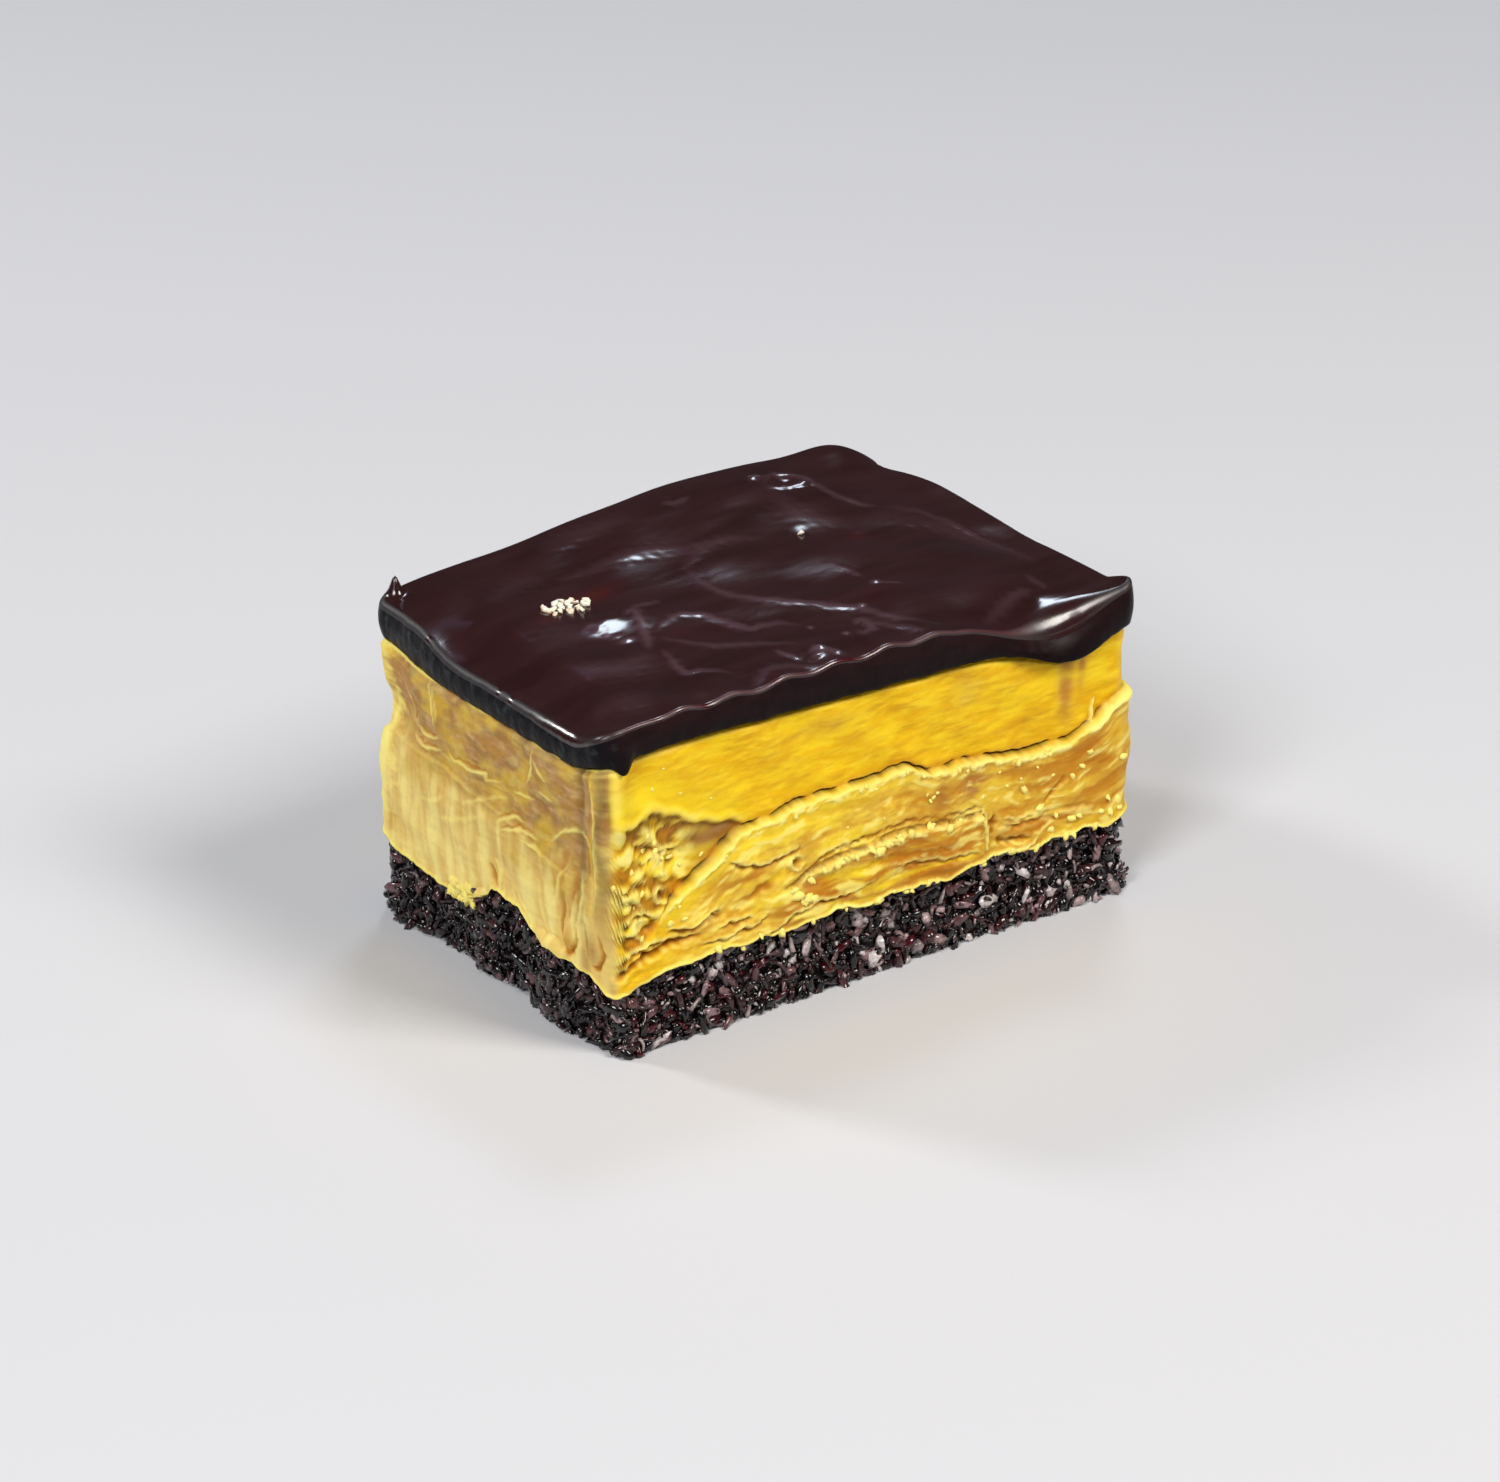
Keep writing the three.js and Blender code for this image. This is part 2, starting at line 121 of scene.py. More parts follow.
# Forms of the chocolate's sides and rim: how far it sags, is drawn in, hangs down or is rounded there
SAG = Mound(1.05, x=23, spread_x=5.5)
CORNER_CUT = Mound(3.8, x=31, spread_x=6.5, y=19.5, spread_y=8)
HANGING_TAG = Mound(1, x=-29.6, spread_x=0.6, y=-19.2, spread_y=0.6)
CORNER_NOTCH = Mound(1, x=-31.2, spread_x=0.7, y=-19.6, spread_y=1)
CORNER_SPIKE = Mound(0.9, x=LENGTH / 2, spread_x=1, y=-WIDTH / 2, spread_y=1)
RIM_RADIUS = {"front": 0.42, "back": 0.7, "left": 0.65, "right": 0.8}
FRONT_RIM_SAG = Mound(1.8, x=22.6, spread_x=4.4)
LEFT_RIM_SAG = Mound(0.45, y=-13, spread_y=5)

# Mesh fineness: cells round each layer and rows up its side. The custard's shares of cells, from the front
# round to the left, make it finest on the two faces with the most marks.
CUSTARD_CELLS = 720
CUSTARD_ROWS = 128
CUSTARD_SHARES = (0.4, 0.14, 0.2, 0.26)
BASE_CELLS = 420
BASE_ROWS = 18
LENGTH_SHARES = (LENGTH, WIDTH, LENGTH, WIDTH)
CHOCOLATE_CELL = 0.2
CHOCOLATE_ROWS = 20
RIM_ROWS = 7
# Vertices at least this far out, of 1, belong to a layer's side
WALL_REACH = 0.9999


class Stroke(NamedTuple):
    """A ridge, or a groove if its height is negative, along a smooth route on one face. With a sheet it is
    the raised edge of a thin layer on the left of the route, with a narrow gap on its right. Its pale tone
    paints a highlight along the ridge, and amber in a groove and in the gap paints shade."""

    route: list
    width: float
    height: float
    pale: float = 0
    amber: float = 0
    sheet: float = 0


class Spot(NamedTuple):
    """A lump, or a pit if its height is negative, at one place on a face."""

    place: tuple
    spread: tuple
    height: float
    pale: float = 0
    amber: float = 0
    dusk: float = 0


# The front's torn ledge: places (x, z) that its crack passes, and the edge of the smooth skin left of it
FRONT_LEDGE = [
    (-31.0, 9.0), (-28.5, 10.4), (-26.2, 12.2), (-25.1, 13.8), (-24.3, 14.9), (-22.6, 15.9), (-21.3, 17.0),
    (-19.0, 18.5), (-16.8, 19.8), (-14.2, 20.4), (-10.3, 20.9), (-5.7, 21.1), (-2.8, 21.2), (-0.2, 20.9),
    (1.6, 21.2), (2.9, 21.4), (4.0, 20.8), (5.7, 19.9), (9.9, 19.7), (14.4, 19.2), (19.1, 18.5), (22.9, 18.6),
    (24.1, 19.1), (25.2, 19.6), (26.4, 20.0), (27.9, 21.0), (29.8, 21.8),
]
SKIN_EDGE = [
    (-31.6, 26.6), (-31.0, 25.3), (-30.2, 24.4), (-29.5, 23.7), (-28.7, 23.4), (-28.2, 23.7), (-27.3, 24.4),
    (-25.7, 24.5), (-23.8, 23.6), (-22.2, 22.6), (-19.7, 21.7), (-17.4, 21.2), (-15.2, 20.4),
]
LOWER_LEDGE = [
    (-16, 11.4), (-12, 12.4), (-8.2, 13.6), (-7.3, 14.0), (-5.0, 14.2), (-0.5, 14.5), (2.4, 14.7),
    (5.1, 14.4), (8.1, 13.9), (11.9, 13.8), (12.4, 12.2), (16.2, 11.9), (21.2, 11.4), (26, 11),
]

# Marks on the front, at (x, z)
FRONT_STROKES = [
    Stroke([(-18.1, 17.7), (-17.1, 17.0), (-15.2, 16.3), (-13.2, 16.0), (-10.9, 16.6), (-9.3, 16.5)],
           0.17, 0.3, pale=0.8, sheet=1.0),
    Stroke([(-9.5, 15.3), (-10.4, 15.8), (-11.1, 15.5), (-10.8, 14.6), (-9.8, 14.3), (-9.3, 15.0)],
           0.2, 0.4, pale=0.8),
    Stroke([(-17.8, 12.0), (-15.2, 12.9), (-13.2, 13.9), (-11.8, 14.9)], 0.5, -0.28, amber=0.9),
    Stroke([(-22.4, 11.1), (-21.1, 11.9), (-20.3, 12.3), (-19.2, 12.2)], 0.32, -0.9, amber=1),
    Stroke([(-24.7, 12.2), (-23.6, 11.9), (-22.1, 12.0), (-20.3, 12.9), (-19.1, 12.9)],
           0.2, 0.4, pale=0.8, sheet=0.8),
    Stroke([(-19.4, 10.9), (-18.1, 11.3), (-16.5, 11.1), (-15.2, 10.7)], 0.2, 0.3, pale=0.6, sheet=0.8),
    Stroke([(-14.2, 8.7), (-12.6, 8.7), (-10.9, 9.9), (-9.3, 10.4), (-7.3, 10.5), (-5.0, 10.1), (-1.3, 10.8)],
           0.17, 0.35, pale=0.9, sheet=1.2),
    Stroke([(-21.4, 9.9), (-19.0, 9.7), (-17.0, 10.1), (-14.8, 9.9), (-13.4, 10.6)],
           0.2, 0.3, pale=0.7, sheet=0.7),
    Stroke([(-9.2, 12.9), (-8.2, 13.9), (-7.0, 14.7), (-4.0, 15.0), (-1.3, 15.2), (3.2, 15.4), (7.3, 14.7)],
           0.2, -0.45, amber=1),
    Stroke([(7.3, 14.7), (9.6, 14.5), (12.3, 14.5)], 0.16, -0.35, amber=0.9),
    Stroke([(-31.5, 14.1), (-30.2, 14.0), (-28.9, 14.4), (-27.7, 14.5), (-26.2, 13.9), (-25.5, 13.0)],
           0.2, 0.4, pale=0.9, sheet=0.8),
    Stroke([(-28.6, 13.4), (-27.0, 13.0), (-25.8, 12.2)], 0.5, -0.45, amber=1),
    Stroke([(-31.2, 12.7), (-30.2, 13.0), (-28.6, 12.6), (-27.4, 11.6)], 0.2, 0.3, pale=0.7, sheet=0.6),
    Stroke([(-31.7, 17.0), (-30.2, 16.8), (-28.3, 16.0), (-27.3, 14.9)], 0.2, 0.3, pale=0.8, sheet=0.8),
    Stroke([(-31.6, 18.5), (-29.8, 17.8), (-28.3, 17.5), (-26.8, 17.9)], 0.18, 0.3, pale=0.8, sheet=0.6),
    Stroke([(-31.7, 21.6), (-31.0, 20.8), (-31.4, 19.8)], 0.18, 0.3, pale=0.8),
    Stroke([(-28.2, 20.1), (-27.0, 19.5), (-26.2, 20.2), (-25.5, 19.6), (-26.2, 19.1)], 0.18, 0.3, pale=0.8),
    Stroke([(-28.8, 22.0), (-26.7, 21.2), (-24.8, 20.6), (-22.5, 19.8)], 0.2, 0.25, pale=0.7, sheet=0.7),
    Stroke([(-24.6, 16.0), (-25.4, 16.5), (-25.9, 15.9), (-25.7, 15.1), (-24.8, 14.7)], 0.2, 0.4, pale=1),
    Stroke([(-31.2, 9.5), (-29.9, 10.2), (-28.3, 10.9), (-26.1, 11.2), (-23.9, 11.1)],
           0.22, 0.35, pale=0.9, sheet=0.7),
    Stroke([(-31.4, 7.9), (-29.6, 8.8), (-27.6, 9.6), (-25.6, 10.1), (-23.4, 10.5), (-21.6, 10.5)],
           0.36, -1.3, amber=1.6),
    Stroke([(-4.9, 12.1), (-2.7, 12.4), (-0.5, 12.4), (2.5, 12.0), (6.3, 11.6), (10.0, 11.5)],
           0.3, -0.22, amber=0.8),
    Stroke([(0.6, 11.6), (4.4, 11.1), (7.8, 10.5), (10.1, 10.4), (12.0, 9.6)],
           0.18, 0.2, pale=0.5, sheet=0.8),
    Stroke([(12.0, 14.3), (12.4, 12.6), (12.5, 10.8), (12.8, 9.2)], 0.18, 0.45, pale=1),
    Stroke([(13.3, 13.1), (13.4, 11.2)], 0.4, -0.6, amber=1),
    Stroke([(13.8, 12.6), (16.2, 12.1), (18.5, 12.0), (21.2, 11.6)], 0.16, 0.28, pale=0.8),
    Stroke([(13.9, 11.9), (16.2, 11.3), (18.5, 11.2), (21.6, 10.7)], 0.2, -0.4, amber=1),
    Stroke([(19.2, 12.5), (20.4, 13.2), (21.5, 14.2), (22.3, 14.8)], 0.25, -0.25, amber=0.8),
    Stroke([(13.5, 10.3), (15.4, 9.8), (17.8, 9.7)], 0.32, -0.7, amber=1),
    Stroke([(13.2, 9.0), (15.5, 8.7), (17.8, 8.8), (18.9, 9.5)], 0.18, 0.25, pale=0.8),
    Stroke([(25.2, 19.4), (25.8, 20.4), (26.1, 21.8)], 0.2, 0.4, pale=0.9),
    Stroke([(25.3, 19.0), (26.6, 19.5), (28.0, 20.5), (30.2, 21.7)], 0.35, 0.4, pale=1),
]
# Pale on the lumps paints highlights; amber in the pits and the brown patches paint shade, under the skin's
# edge and the chocolate's rim; some brown is also the skin's own streaks.
FRONT_SPOTS = [
    Spot((-10.3, 15.0), (0.35, 0.4), -0.5, amber=0.7),
    Spot((-25.2, 15.6), (0.35, 0.4), -0.6, amber=1),
    Spot((-26.6, 19.7), (0.3, 0.35), -0.4, amber=0.8),
    Spot((-27.1, 22.8), (0.45, 0.5), 0.5, pale=1),
    Spot((-26.2, 21.7), (0.4, 0.4), 0.4, pale=1),
    Spot((-25.4, 18.0), (0.35, 0.35), 0.35, pale=0.9),
    Spot((-24.0, 22.4), (1.8, 0.8), -0.2, dusk=0.8),
    Spot((-21.4, 20.6), (1.9, 0.9), -0.15, dusk=0.9),
    Spot((-24.0, 19.2), (1.2, 0.7), -0.2, dusk=0.6),
    Spot((-8.8, 12.6), (1.5, 0.7), -0.35, dusk=0.9),
    Spot((11.1, 17.4), (1.5, 1.5), -0.15, amber=0.3, dusk=1.4),
    Spot((7.0, 17.0), (0.9, 1.6), -0.1, amber=0.2, dusk=0.8),
    Spot((22.6, 25.0), (0.75, 3.6), -0.12, amber=0.7, dusk=0.9),
    Spot((24.5, 26.0), (0.5, 2.0), -0.06, amber=0.5, dusk=0.7),
    Spot((10.6, 26.9), (1.6, 1.6), 0, dusk=0.4),
    Spot((-6.0, 28.0), (3.5, 1.0), 0, dusk=0.25),
    Spot((26.5, 15.5), (2.6, 2.2), -0.1, amber=0.5),
    Spot((-16.0, 14.6), (2.4, 1.2), -0.1, amber=0.45),
]
# Custard beads on the front: their half size, and where they lie, at (x, z)
FRONT_BEADS = [
    (0.36, [
        (29.5, 14.9), (24.4, 15.3), (23.2, 14.5), (25.3, 16.6), (17.2, 14.8), (27.7, 11.0), (29.1, 10.3),
        (23.2, 10.0), (21.2, 10.9), (26.7, 9.8), (20.5, 9.5), (19.2, 12.2), (27.9, 9.5), (29.3, 9.4),
        (24.0, 10.1),
    ]),
    (0.48, [
        (0.6, 14.0), (1.7, 13.9), (5.5, 14.2), (7.7, 13.6), (-1.6, 14.0), (-3.5, 13.7), (3.1, 14.3),
        (-0.6, 13.6), (-10.6, 11.8), (-9.3, 11.2), (-10.9, 12.4), (-9.9, 11.0), (-8.6, 10.9),
    ]),
    (0.3, [
        (-27.1, 22.6), (-26.2, 21.6), (-25.4, 18.0), (-20.6, 18.6), (-30.9, 18.2), (-24.6, 14.6),
        (-28.6, 19.0),
    ]),
    (0.16, [(-23.1, 25.7), (-19.7, 24.3), (-25.0, 28.8), (-26.1, 26.9)]),
]

# Marks on the left face, at (y, z)
LEFT_STROKES = [
    Stroke([(9.6, 29.0), (9.0, 27.4), (8.9, 25.6), (8.5, 24.2)], 0.15, 0.3, pale=1),
    Stroke([(8.9, 28.6), (8.5, 26.6), (8.3, 25.0)], 0.12, 0.2, pale=0.6),
    Stroke([(14.0, 27.2), (13.2, 25.0), (13.9, 22.9)], 0.2, 0.25, pale=0.5, sheet=0.8),
    Stroke([(12.3, 22.9), (10.8, 22.6), (7.9, 23.4)], 0.17, 0.3, pale=0.9, sheet=0.5),
    Stroke([(13.0, 21.7), (10.8, 21.4), (7.7, 22.2)], 0.17, 0.3, pale=0.9, sheet=0.5),
    Stroke([(6.7, 22.9), (5.8, 22.1), (4.0, 22.3), (2.2, 22.2), (0.3, 22.7), (0.0, 22.1), (-2.7, 22.9)],
           0.16, 0.3, pale=1, sheet=0.6),
    Stroke([(-4.5, 22.7), (-6.3, 23.0), (-8.1, 23.2)], 0.16, 0.25, pale=0.9),
    Stroke([(-8.7, 24.4), (-11.1, 24.0)], 0.16, 0.25, pale=0.7),
    Stroke([(-8.1, 28.4), (-7.6, 26.2), (-6.5, 24.2)], 0.16, 0.32, pale=1),
    Stroke([(-8.2, 27.6), (-9.1, 26.4), (-10.2, 25.8)], 0.16, 0.3, pale=1),
    Stroke([(11.7, 15.9), (9.2, 16.4), (6.6, 17.9)], 0.25, 0.15, pale=0.5),
    Stroke([(9.2, 14.8), (4.8, 16.2), (0.5, 18.2)], 0.3, 0.15, pale=0.5),
    Stroke([(4.1, 18.1), (0.4, 20.0), (-3.3, 21.5)], 0.25, 0.18, pale=0.5),
    Stroke([(-2.0, 18.6), (-4.4, 20.0), (-6.2, 20.1)], 0.18, 0.28, pale=0.9, sheet=0.6),
    Stroke([(-2.6, 18.0), (-5.6, 19.1), (-8.9, 19.3)], 0.18, 0.28, pale=0.9, sheet=0.6),
    Stroke([(-5.6, 18.3), (-8.0, 18.5), (-9.8, 18.0)], 0.16, 0.22, pale=0.8),
    Stroke([(-10.7, 20.0), (-12.2, 21.4), (-14.2, 22.4), (-16.3, 22.6), (-17.2, 21.6)], 0.2, 0.4, pale=1),
    Stroke([(-16.8, 21.4), (-16.6, 19.4), (-15.8, 17.0), (-14.9, 14.4), (-14.0, 12.4)],
           0.35, -0.35, amber=0.9),
    Stroke([(-14.2, 18.6), (-14.6, 17.2), (-13.9, 15.1), (-13.0, 12.8)], 0.5, -0.9, amber=1),
    Stroke([(-13.2, 18.6), (-11.6, 15.0), (-10.9, 11.6)], 0.22, 0.45, pale=0.8),
    Stroke([(-15.4, 18.8), (-15.7, 15.7), (-14.6, 12.8)], 0.24, 0.5, pale=0.9),
    Stroke([(-0.2, 13.5), (-0.8, 12.4), (-1.1, 11.3)], 0.42, -0.8, amber=1),
    Stroke([(-1.3, 14.4), (-2.2, 13.0), (-1.7, 11.2)], 0.22, 0.4, pale=0.9),
    Stroke([(-4.5, 13.1), (-5.4, 11.5), (-6.5, 10.1), (-7.7, 8.4)], 0.22, 0.35, pale=0.9),
    Stroke([(-8.9, 15.5), (-9.0, 12.0), (-9.6, 9.2)], 0.25, 0.3, pale=0.7),
    Stroke([(-12.0, 13.0), (-12.1, 10.8), (-13.0, 9.2), (-14.1, 10.4), (-14.0, 12.6)], 0.24, -0.9, amber=1.6),
    Stroke([(-15.5, 13.0), (-15.5, 10.8), (-16.7, 8.8), (-17.9, 10.4), (-17.8, 13.0)], 0.24, -0.9, amber=1.6),
    Stroke([(-17.6, 29.3), (-17.5, 25.2), (-17.9, 21.0), (-17.6, 15.0)], 0.15, 0.28, pale=1),
    Stroke([(16.4, 25.5), (17.8, 20.8), (18.4, 15.0), (17.6, 10.5)], 0.5, 0.2, pale=0.8),
]
# The amber and brown drips by the corner, and the amber pits, paint shade.
LEFT_SPOTS = [
    Spot((-13.1, 10.4), (0.9, 1.1), 1.2, amber=1, dusk=0.6),
    Spot((-16.7, 10.6), (0.9, 1.5), 1.2, dusk=1.3),
    Spot((-12.2, 13.6), (0.5, 1.5), -0.9, amber=1.1),
    Spot((17.0, 11.5), (1.1, 2.2), -0.5, amber=0.8),
    Spot((4.8, 27.0), (2.2, 2.0), -0.1, amber=0.3),
    Spot((15.0, 27.0), (1.4, 2.6), -0.15, amber=0.5),
    Spot((-12.5, 17.2), (1.2, 2.0), -0.1, amber=0.5),
]

# Smears in the chocolate, at (x, y). Pale is here a milky line painted along a smear as sheen, amber a
# reddish stain
TOP_STROKES = [
    Stroke([(-15.4, 0.3), (-14.3, 0.1), (-15.1, -2.2), (-16.8, -5.5), (-17.8, -7.0)], 0.32, 0.12, pale=0.9),
    Stroke([(-14.7, 0.6), (-13.1, 0.9), (-11.6, 0.9), (-10.6, 1.0)], 0.28, 0.1, pale=0.6),
    Stroke([(-14.8, -4.1), (-13.3, -3.3), (-11.0, -2.7), (-9.3, -3.7), (-8.3, -5.6), (-7.3, -8.3),
            (-6.0, -8.8), (-4.2, -9.5), (-3.2, -11.1)], 0.34, 0.13, pale=0.9),
    Stroke([(-15.3, -5.5), (-14.9, -6.9), (-13.0, -10.0), (-11.0, -11.0), (-8.9, -12.0), (-7.2, -13.5),
            (-6.0, -14.7)], 0.3, 0.1, pale=0.6),
    Stroke([(-17.0, -8.1), (-17.6, -10.5), (-18.0, -12.4), (-17.8, -13.4), (-16.4, -13.9), (-14.4, -15.6)],
           0.28, 0.1, pale=0.8),
    Stroke([(-4.7, 5.3), (-4.8, 1.4), (-4.3, -2.4), (-2.5, -5.2), (0.8, -8.2), (3.2, -10.4), (4.1, -11.6),
            (5.3, -14.9), (7.9, -18.3)], 0.36, 0.13, pale=0.8),
    Stroke([(-4.7, 5.3), (-3.0, 6.0), (-1.0, 7.0), (2.0, 7.3), (5.4, 6.3)], 0.5, 0.1, pale=0.4),
    Stroke([(-15.4, 10.8), (-11.9, 10.2), (-8.1, 9.9), (-4.9, 9.4), (-2.3, 8.0), (-0.3, 8.0)],
           0.6, 0.12, pale=0.35),
    Stroke([(-14.0, 16.0), (-11.2, 16.7), (-6.5, 16.7), (-2.9, 16.1)], 0.9, 0.12, pale=0.25),
    Stroke([(1.0, 16.9), (2.7, 16.4), (4.5, 16.9)], 0.25, 0.08, pale=0.6),
    Stroke([(-24.0, 10.5), (-20.0, 11.8), (-16.5, 12.0)], 0.8, 0.12, pale=0.25),
    Stroke([(-8.5, -14.3), (-8.3, -15.8), (-7.7, -17.3)], 0.2, 0.1, pale=0.9),
    Stroke([(-14.4, -19.0), (-12.9, -17.9), (-11.2, -17.5), (-8.9, -18.2), (-7.2, -19.4)],
           0.4, 0.14, pale=0.5),
    Stroke([(-6.2, -16.8), (-5.2, -16.5), (-4.0, -17.9), (-4.0, -19.3)], 0.3, 0.25, pale=0.6),
    Stroke([(1.6, -13.6), (2.6, -13.2), (2.4, -15.3), (0.9, -16.0), (1.0, -14.9)], 0.34, 0.15, pale=0.8),
    Stroke([(3.3, -14.8), (4.1, -16.4), (6.1, -19.0)], 0.3, 0.1, pale=0.5),
    Stroke([(21.8, -15.8), (20.6, -15.6), (16.9, -17.0), (13.5, -18.6)], 0.34, 0.1, pale=0.4),
    Stroke([(12.6, 15.3), (14.0, 16.3), (15.4, 16.3), (16.5, 15.0), (16.5, 13.4), (14.7, 13.1), (13.2, 13.7),
            (12.6, 14.7)], 0.32, 0.32, pale=0.6),
    Stroke([(17.0, 14.0), (17.1, 10.8), (18.3, 8.0), (19.8, 6.2)], 0.3, 0.12, pale=0.6),
    Stroke([(20.7, 5.7), (23.1, 3.4), (24.9, -0.6), (25.8, -4.8), (26.3, -10.4)], 0.35, 0.1, pale=0.35),
    Stroke([(19.2, 2.7), (22.6, 0.7), (24.7, -4.0), (25.8, -10.0)], 0.8, 0.1, pale=0.25),
    Stroke([(12.3, 13.3), (11.1, 8.4), (12.2, 6.6), (14.3, 4.5)], 0.9, 0.1, pale=0.35),
    Stroke([(7.4, -1.7), (8.2, -3.9), (8.7, -5.7)], 0.25, 0.08, pale=0.5),
    Stroke([(23.3, -12.8), (23.4, -15.9)], 0.3, 0.08, pale=0.4),
    Stroke([(8.7, -7.7), (10.7, -9.6)], 0.16, 0.08, pale=0.7),
    Stroke([(-26.5, -1.0), (-22.9, 0.2), (-20.8, -0.2), (-20.2, -2.1)], 1.4, 0.1, pale=0.3),
    Stroke([(-26.2, -4.6), (-24.8, -7.3), (-22.3, -8.7), (-19.9, -8.2), (-18.4, -6.5)], 1.1, 0.08, pale=0.25),
    Stroke([(-29.1, -13.4), (-26.0, -14.9), (-23.2, -15.6)], 1.1, 0.12, pale=0.2),
]
# Pale on these lumps paints sheen; the small pale lumps near (-19, -1) paint a glinting patch.
TOP_SPOTS = [
    Spot((-17.9, 0.1), (2.4, 1.6), 0.4),
    Spot((-19.5, 0.1), (0.6, 0.35), 0.05, pale=0.4),
    Spot((-18.6, -0.4), (0.6, 0.35), 0.05, pale=0.4),
    Spot((-19.3, -1.0), (0.6, 0.35), 0.05, pale=0.5),
    Spot((-18.2, -1.4), (0.6, 0.35), 0.05, pale=0.5),
    Spot((-18.9, -1.9), (0.6, 0.35), 0.06, pale=0.5),
    Spot((-18.3, -2.6), (0.7, 0.4), 0.1, pale=0.4),
    Spot((-18.0, -3.9), (0.9, 0.5), 0.24, pale=0.8),
    Spot((14.8, 14.7), (1.1, 0.9), -0.3),
    Spot((12.4, 16.6), (0.7, 0.5), 0.27, pale=0.6),
    Spot((16.0, 12.9), (0.4, 0.35), 0.16),
    Spot((8.7, -7.7), (0.5, 0.4), 0.2, pale=0.6),
    Spot((-6.4, -18.0), (0.6, 0.35), 0.18, pale=0.4),
    Spot((-5.2, -16.9), (0.6, 0.4), 0.18, pale=0.4),
    Spot((-4.1, -18.4), (0.5, 0.4), 0.17, pale=0.4),
    Spot((4.5, -11.1), (0.34, 0.34), 0.12, pale=0.8),
    Spot((-2.6, -12.2), (0.3, 0.3), 0.12, pale=0.7),
    Spot((-0.4, -14.9), (0.34, 0.34), 0.13, pale=0.7),
    Spot((-5.4, -17.6), (0.9, 0.7), 0.22, pale=0.5),
    Spot((14.0, 2.0), (1.1, 1.0), -0.1, amber=0.4),
    Spot((9.3, 4.9), (1.0, 0.9), -0.14),
    Spot((-15.0, 5.8), (2.4, 1.3), 0, amber=0.9),
    Spot((-21.8, 3.9), (1.2, 1.0), 0, amber=0.5),
    Spot((-12.0, -7.0), (3.0, 2.0), 0, amber=0.25),
    Spot((6.0, -10.0), (4.0, 2.0), 0, amber=0.2),
]


class Scatter(NamedTuple):
    """Small pieces pressed into the base: how many, in how many rows, their half size, how far they
    stand out and how low they may lie."""

    count: int
    rows: int
    size: float
    proud: float
    lowest: float


SMALL_CRUMBS = Scatter(1500, 10, 0.48, -0.3, 0.3)
LARGE_CRUMBS = Scatter(1350, 8, 0.66, 0.12, 0.5)
FINE_CRUMBS = Scatter(2000, 12, 0.25, 0.15, 0.3)
SHREDS = Scatter(220, 5, 0.26, 0.3, 1.2)
SHRED_LENGTH = 2.6
FLOOR_LIFT = 0.02
SEED = 5


# Small shape functions, for numbers and for arrays
def hump(value, centre, spread):
    """A hump of height 1 at the centre."""
    return np.exp(-(((value - centre) / spread) ** 2))


def step(value, low, high):
    """A smooth step from 0 to 1."""
    share = np.clip((value - low) / (high - low), 0, 1)
    return share * share * (3 - 2 * share)


def mix(low, high, share):
    return low + (high - low) * share


def relief(mounds, x, y):
    return sum(m.height * hump(x, m.x, m.spread_x) * hump(y, m.y, m.spread_y) for m in mounds)


def lumps(points, size, octaves, shift):
    """Noise from about -1 to 1, with lumps of that size (one number, or one for each axis)."""
    scaled = np.asarray(points, float) / size + shift
    return np.array([noise.fractal(Vector(p), 1.0, 2.0, octaves) for p in scaled])


def height_at(route, x):
    """The height over x of a line through places (x, z)."""
    return np.interp(x, *zip(*route))


def smooth_route(route, steps=6):
    """Points on a smooth curve that passes through a route's points."""
    p = np.array([route[0], *route, route[-1]], float)
    t = np.linspace(0, 1, steps, endpoint=False)[:, None]
    spans = [
        0.5 * (2 * b + (c - a) * t + (2 * a - 5 * b + 4 * c - d) * t**2 + (3 * b - a - 3 * c + d) * t**3)
        for a, b, c, d in zip(p, p[1:], p[2:], p[3:])
    ]
    return np.vstack([*spans, p[-1:]])


def along_route(route, u, v):
    """How far each place (u, v) is from a route, positive on its left, and how far along it that is."""
    nearest = np.full(np.shape(u), np.inf)
    signed = np.zeros(np.shape(u))
    along = np.zeros(np.shape(u))
    points = smooth_route(route)
    count = len(points) - 1
    for number, (start, end) in enumerate(zip(points, points[1:])):
        run = end - start
        share = ((u - start[0]) * run[0] + (v - start[1]) * run[1]) / max(run @ run, 1e-9)
        share = np.clip(share, 0, 1)
        off_u, off_v = u - start[0] - share * run[0], v - start[1] - share * run[1]
        away = np.hypot(off_u, off_v)
        closer = away < nearest
        nearest = np.where(closer, away, nearest)
        signed = np.where(closer, np.sign(run[0] * off_v - run[1] * off_u) * away, signed)
        along = np.where(closer, (number + share) / count, along)
    return signed, along


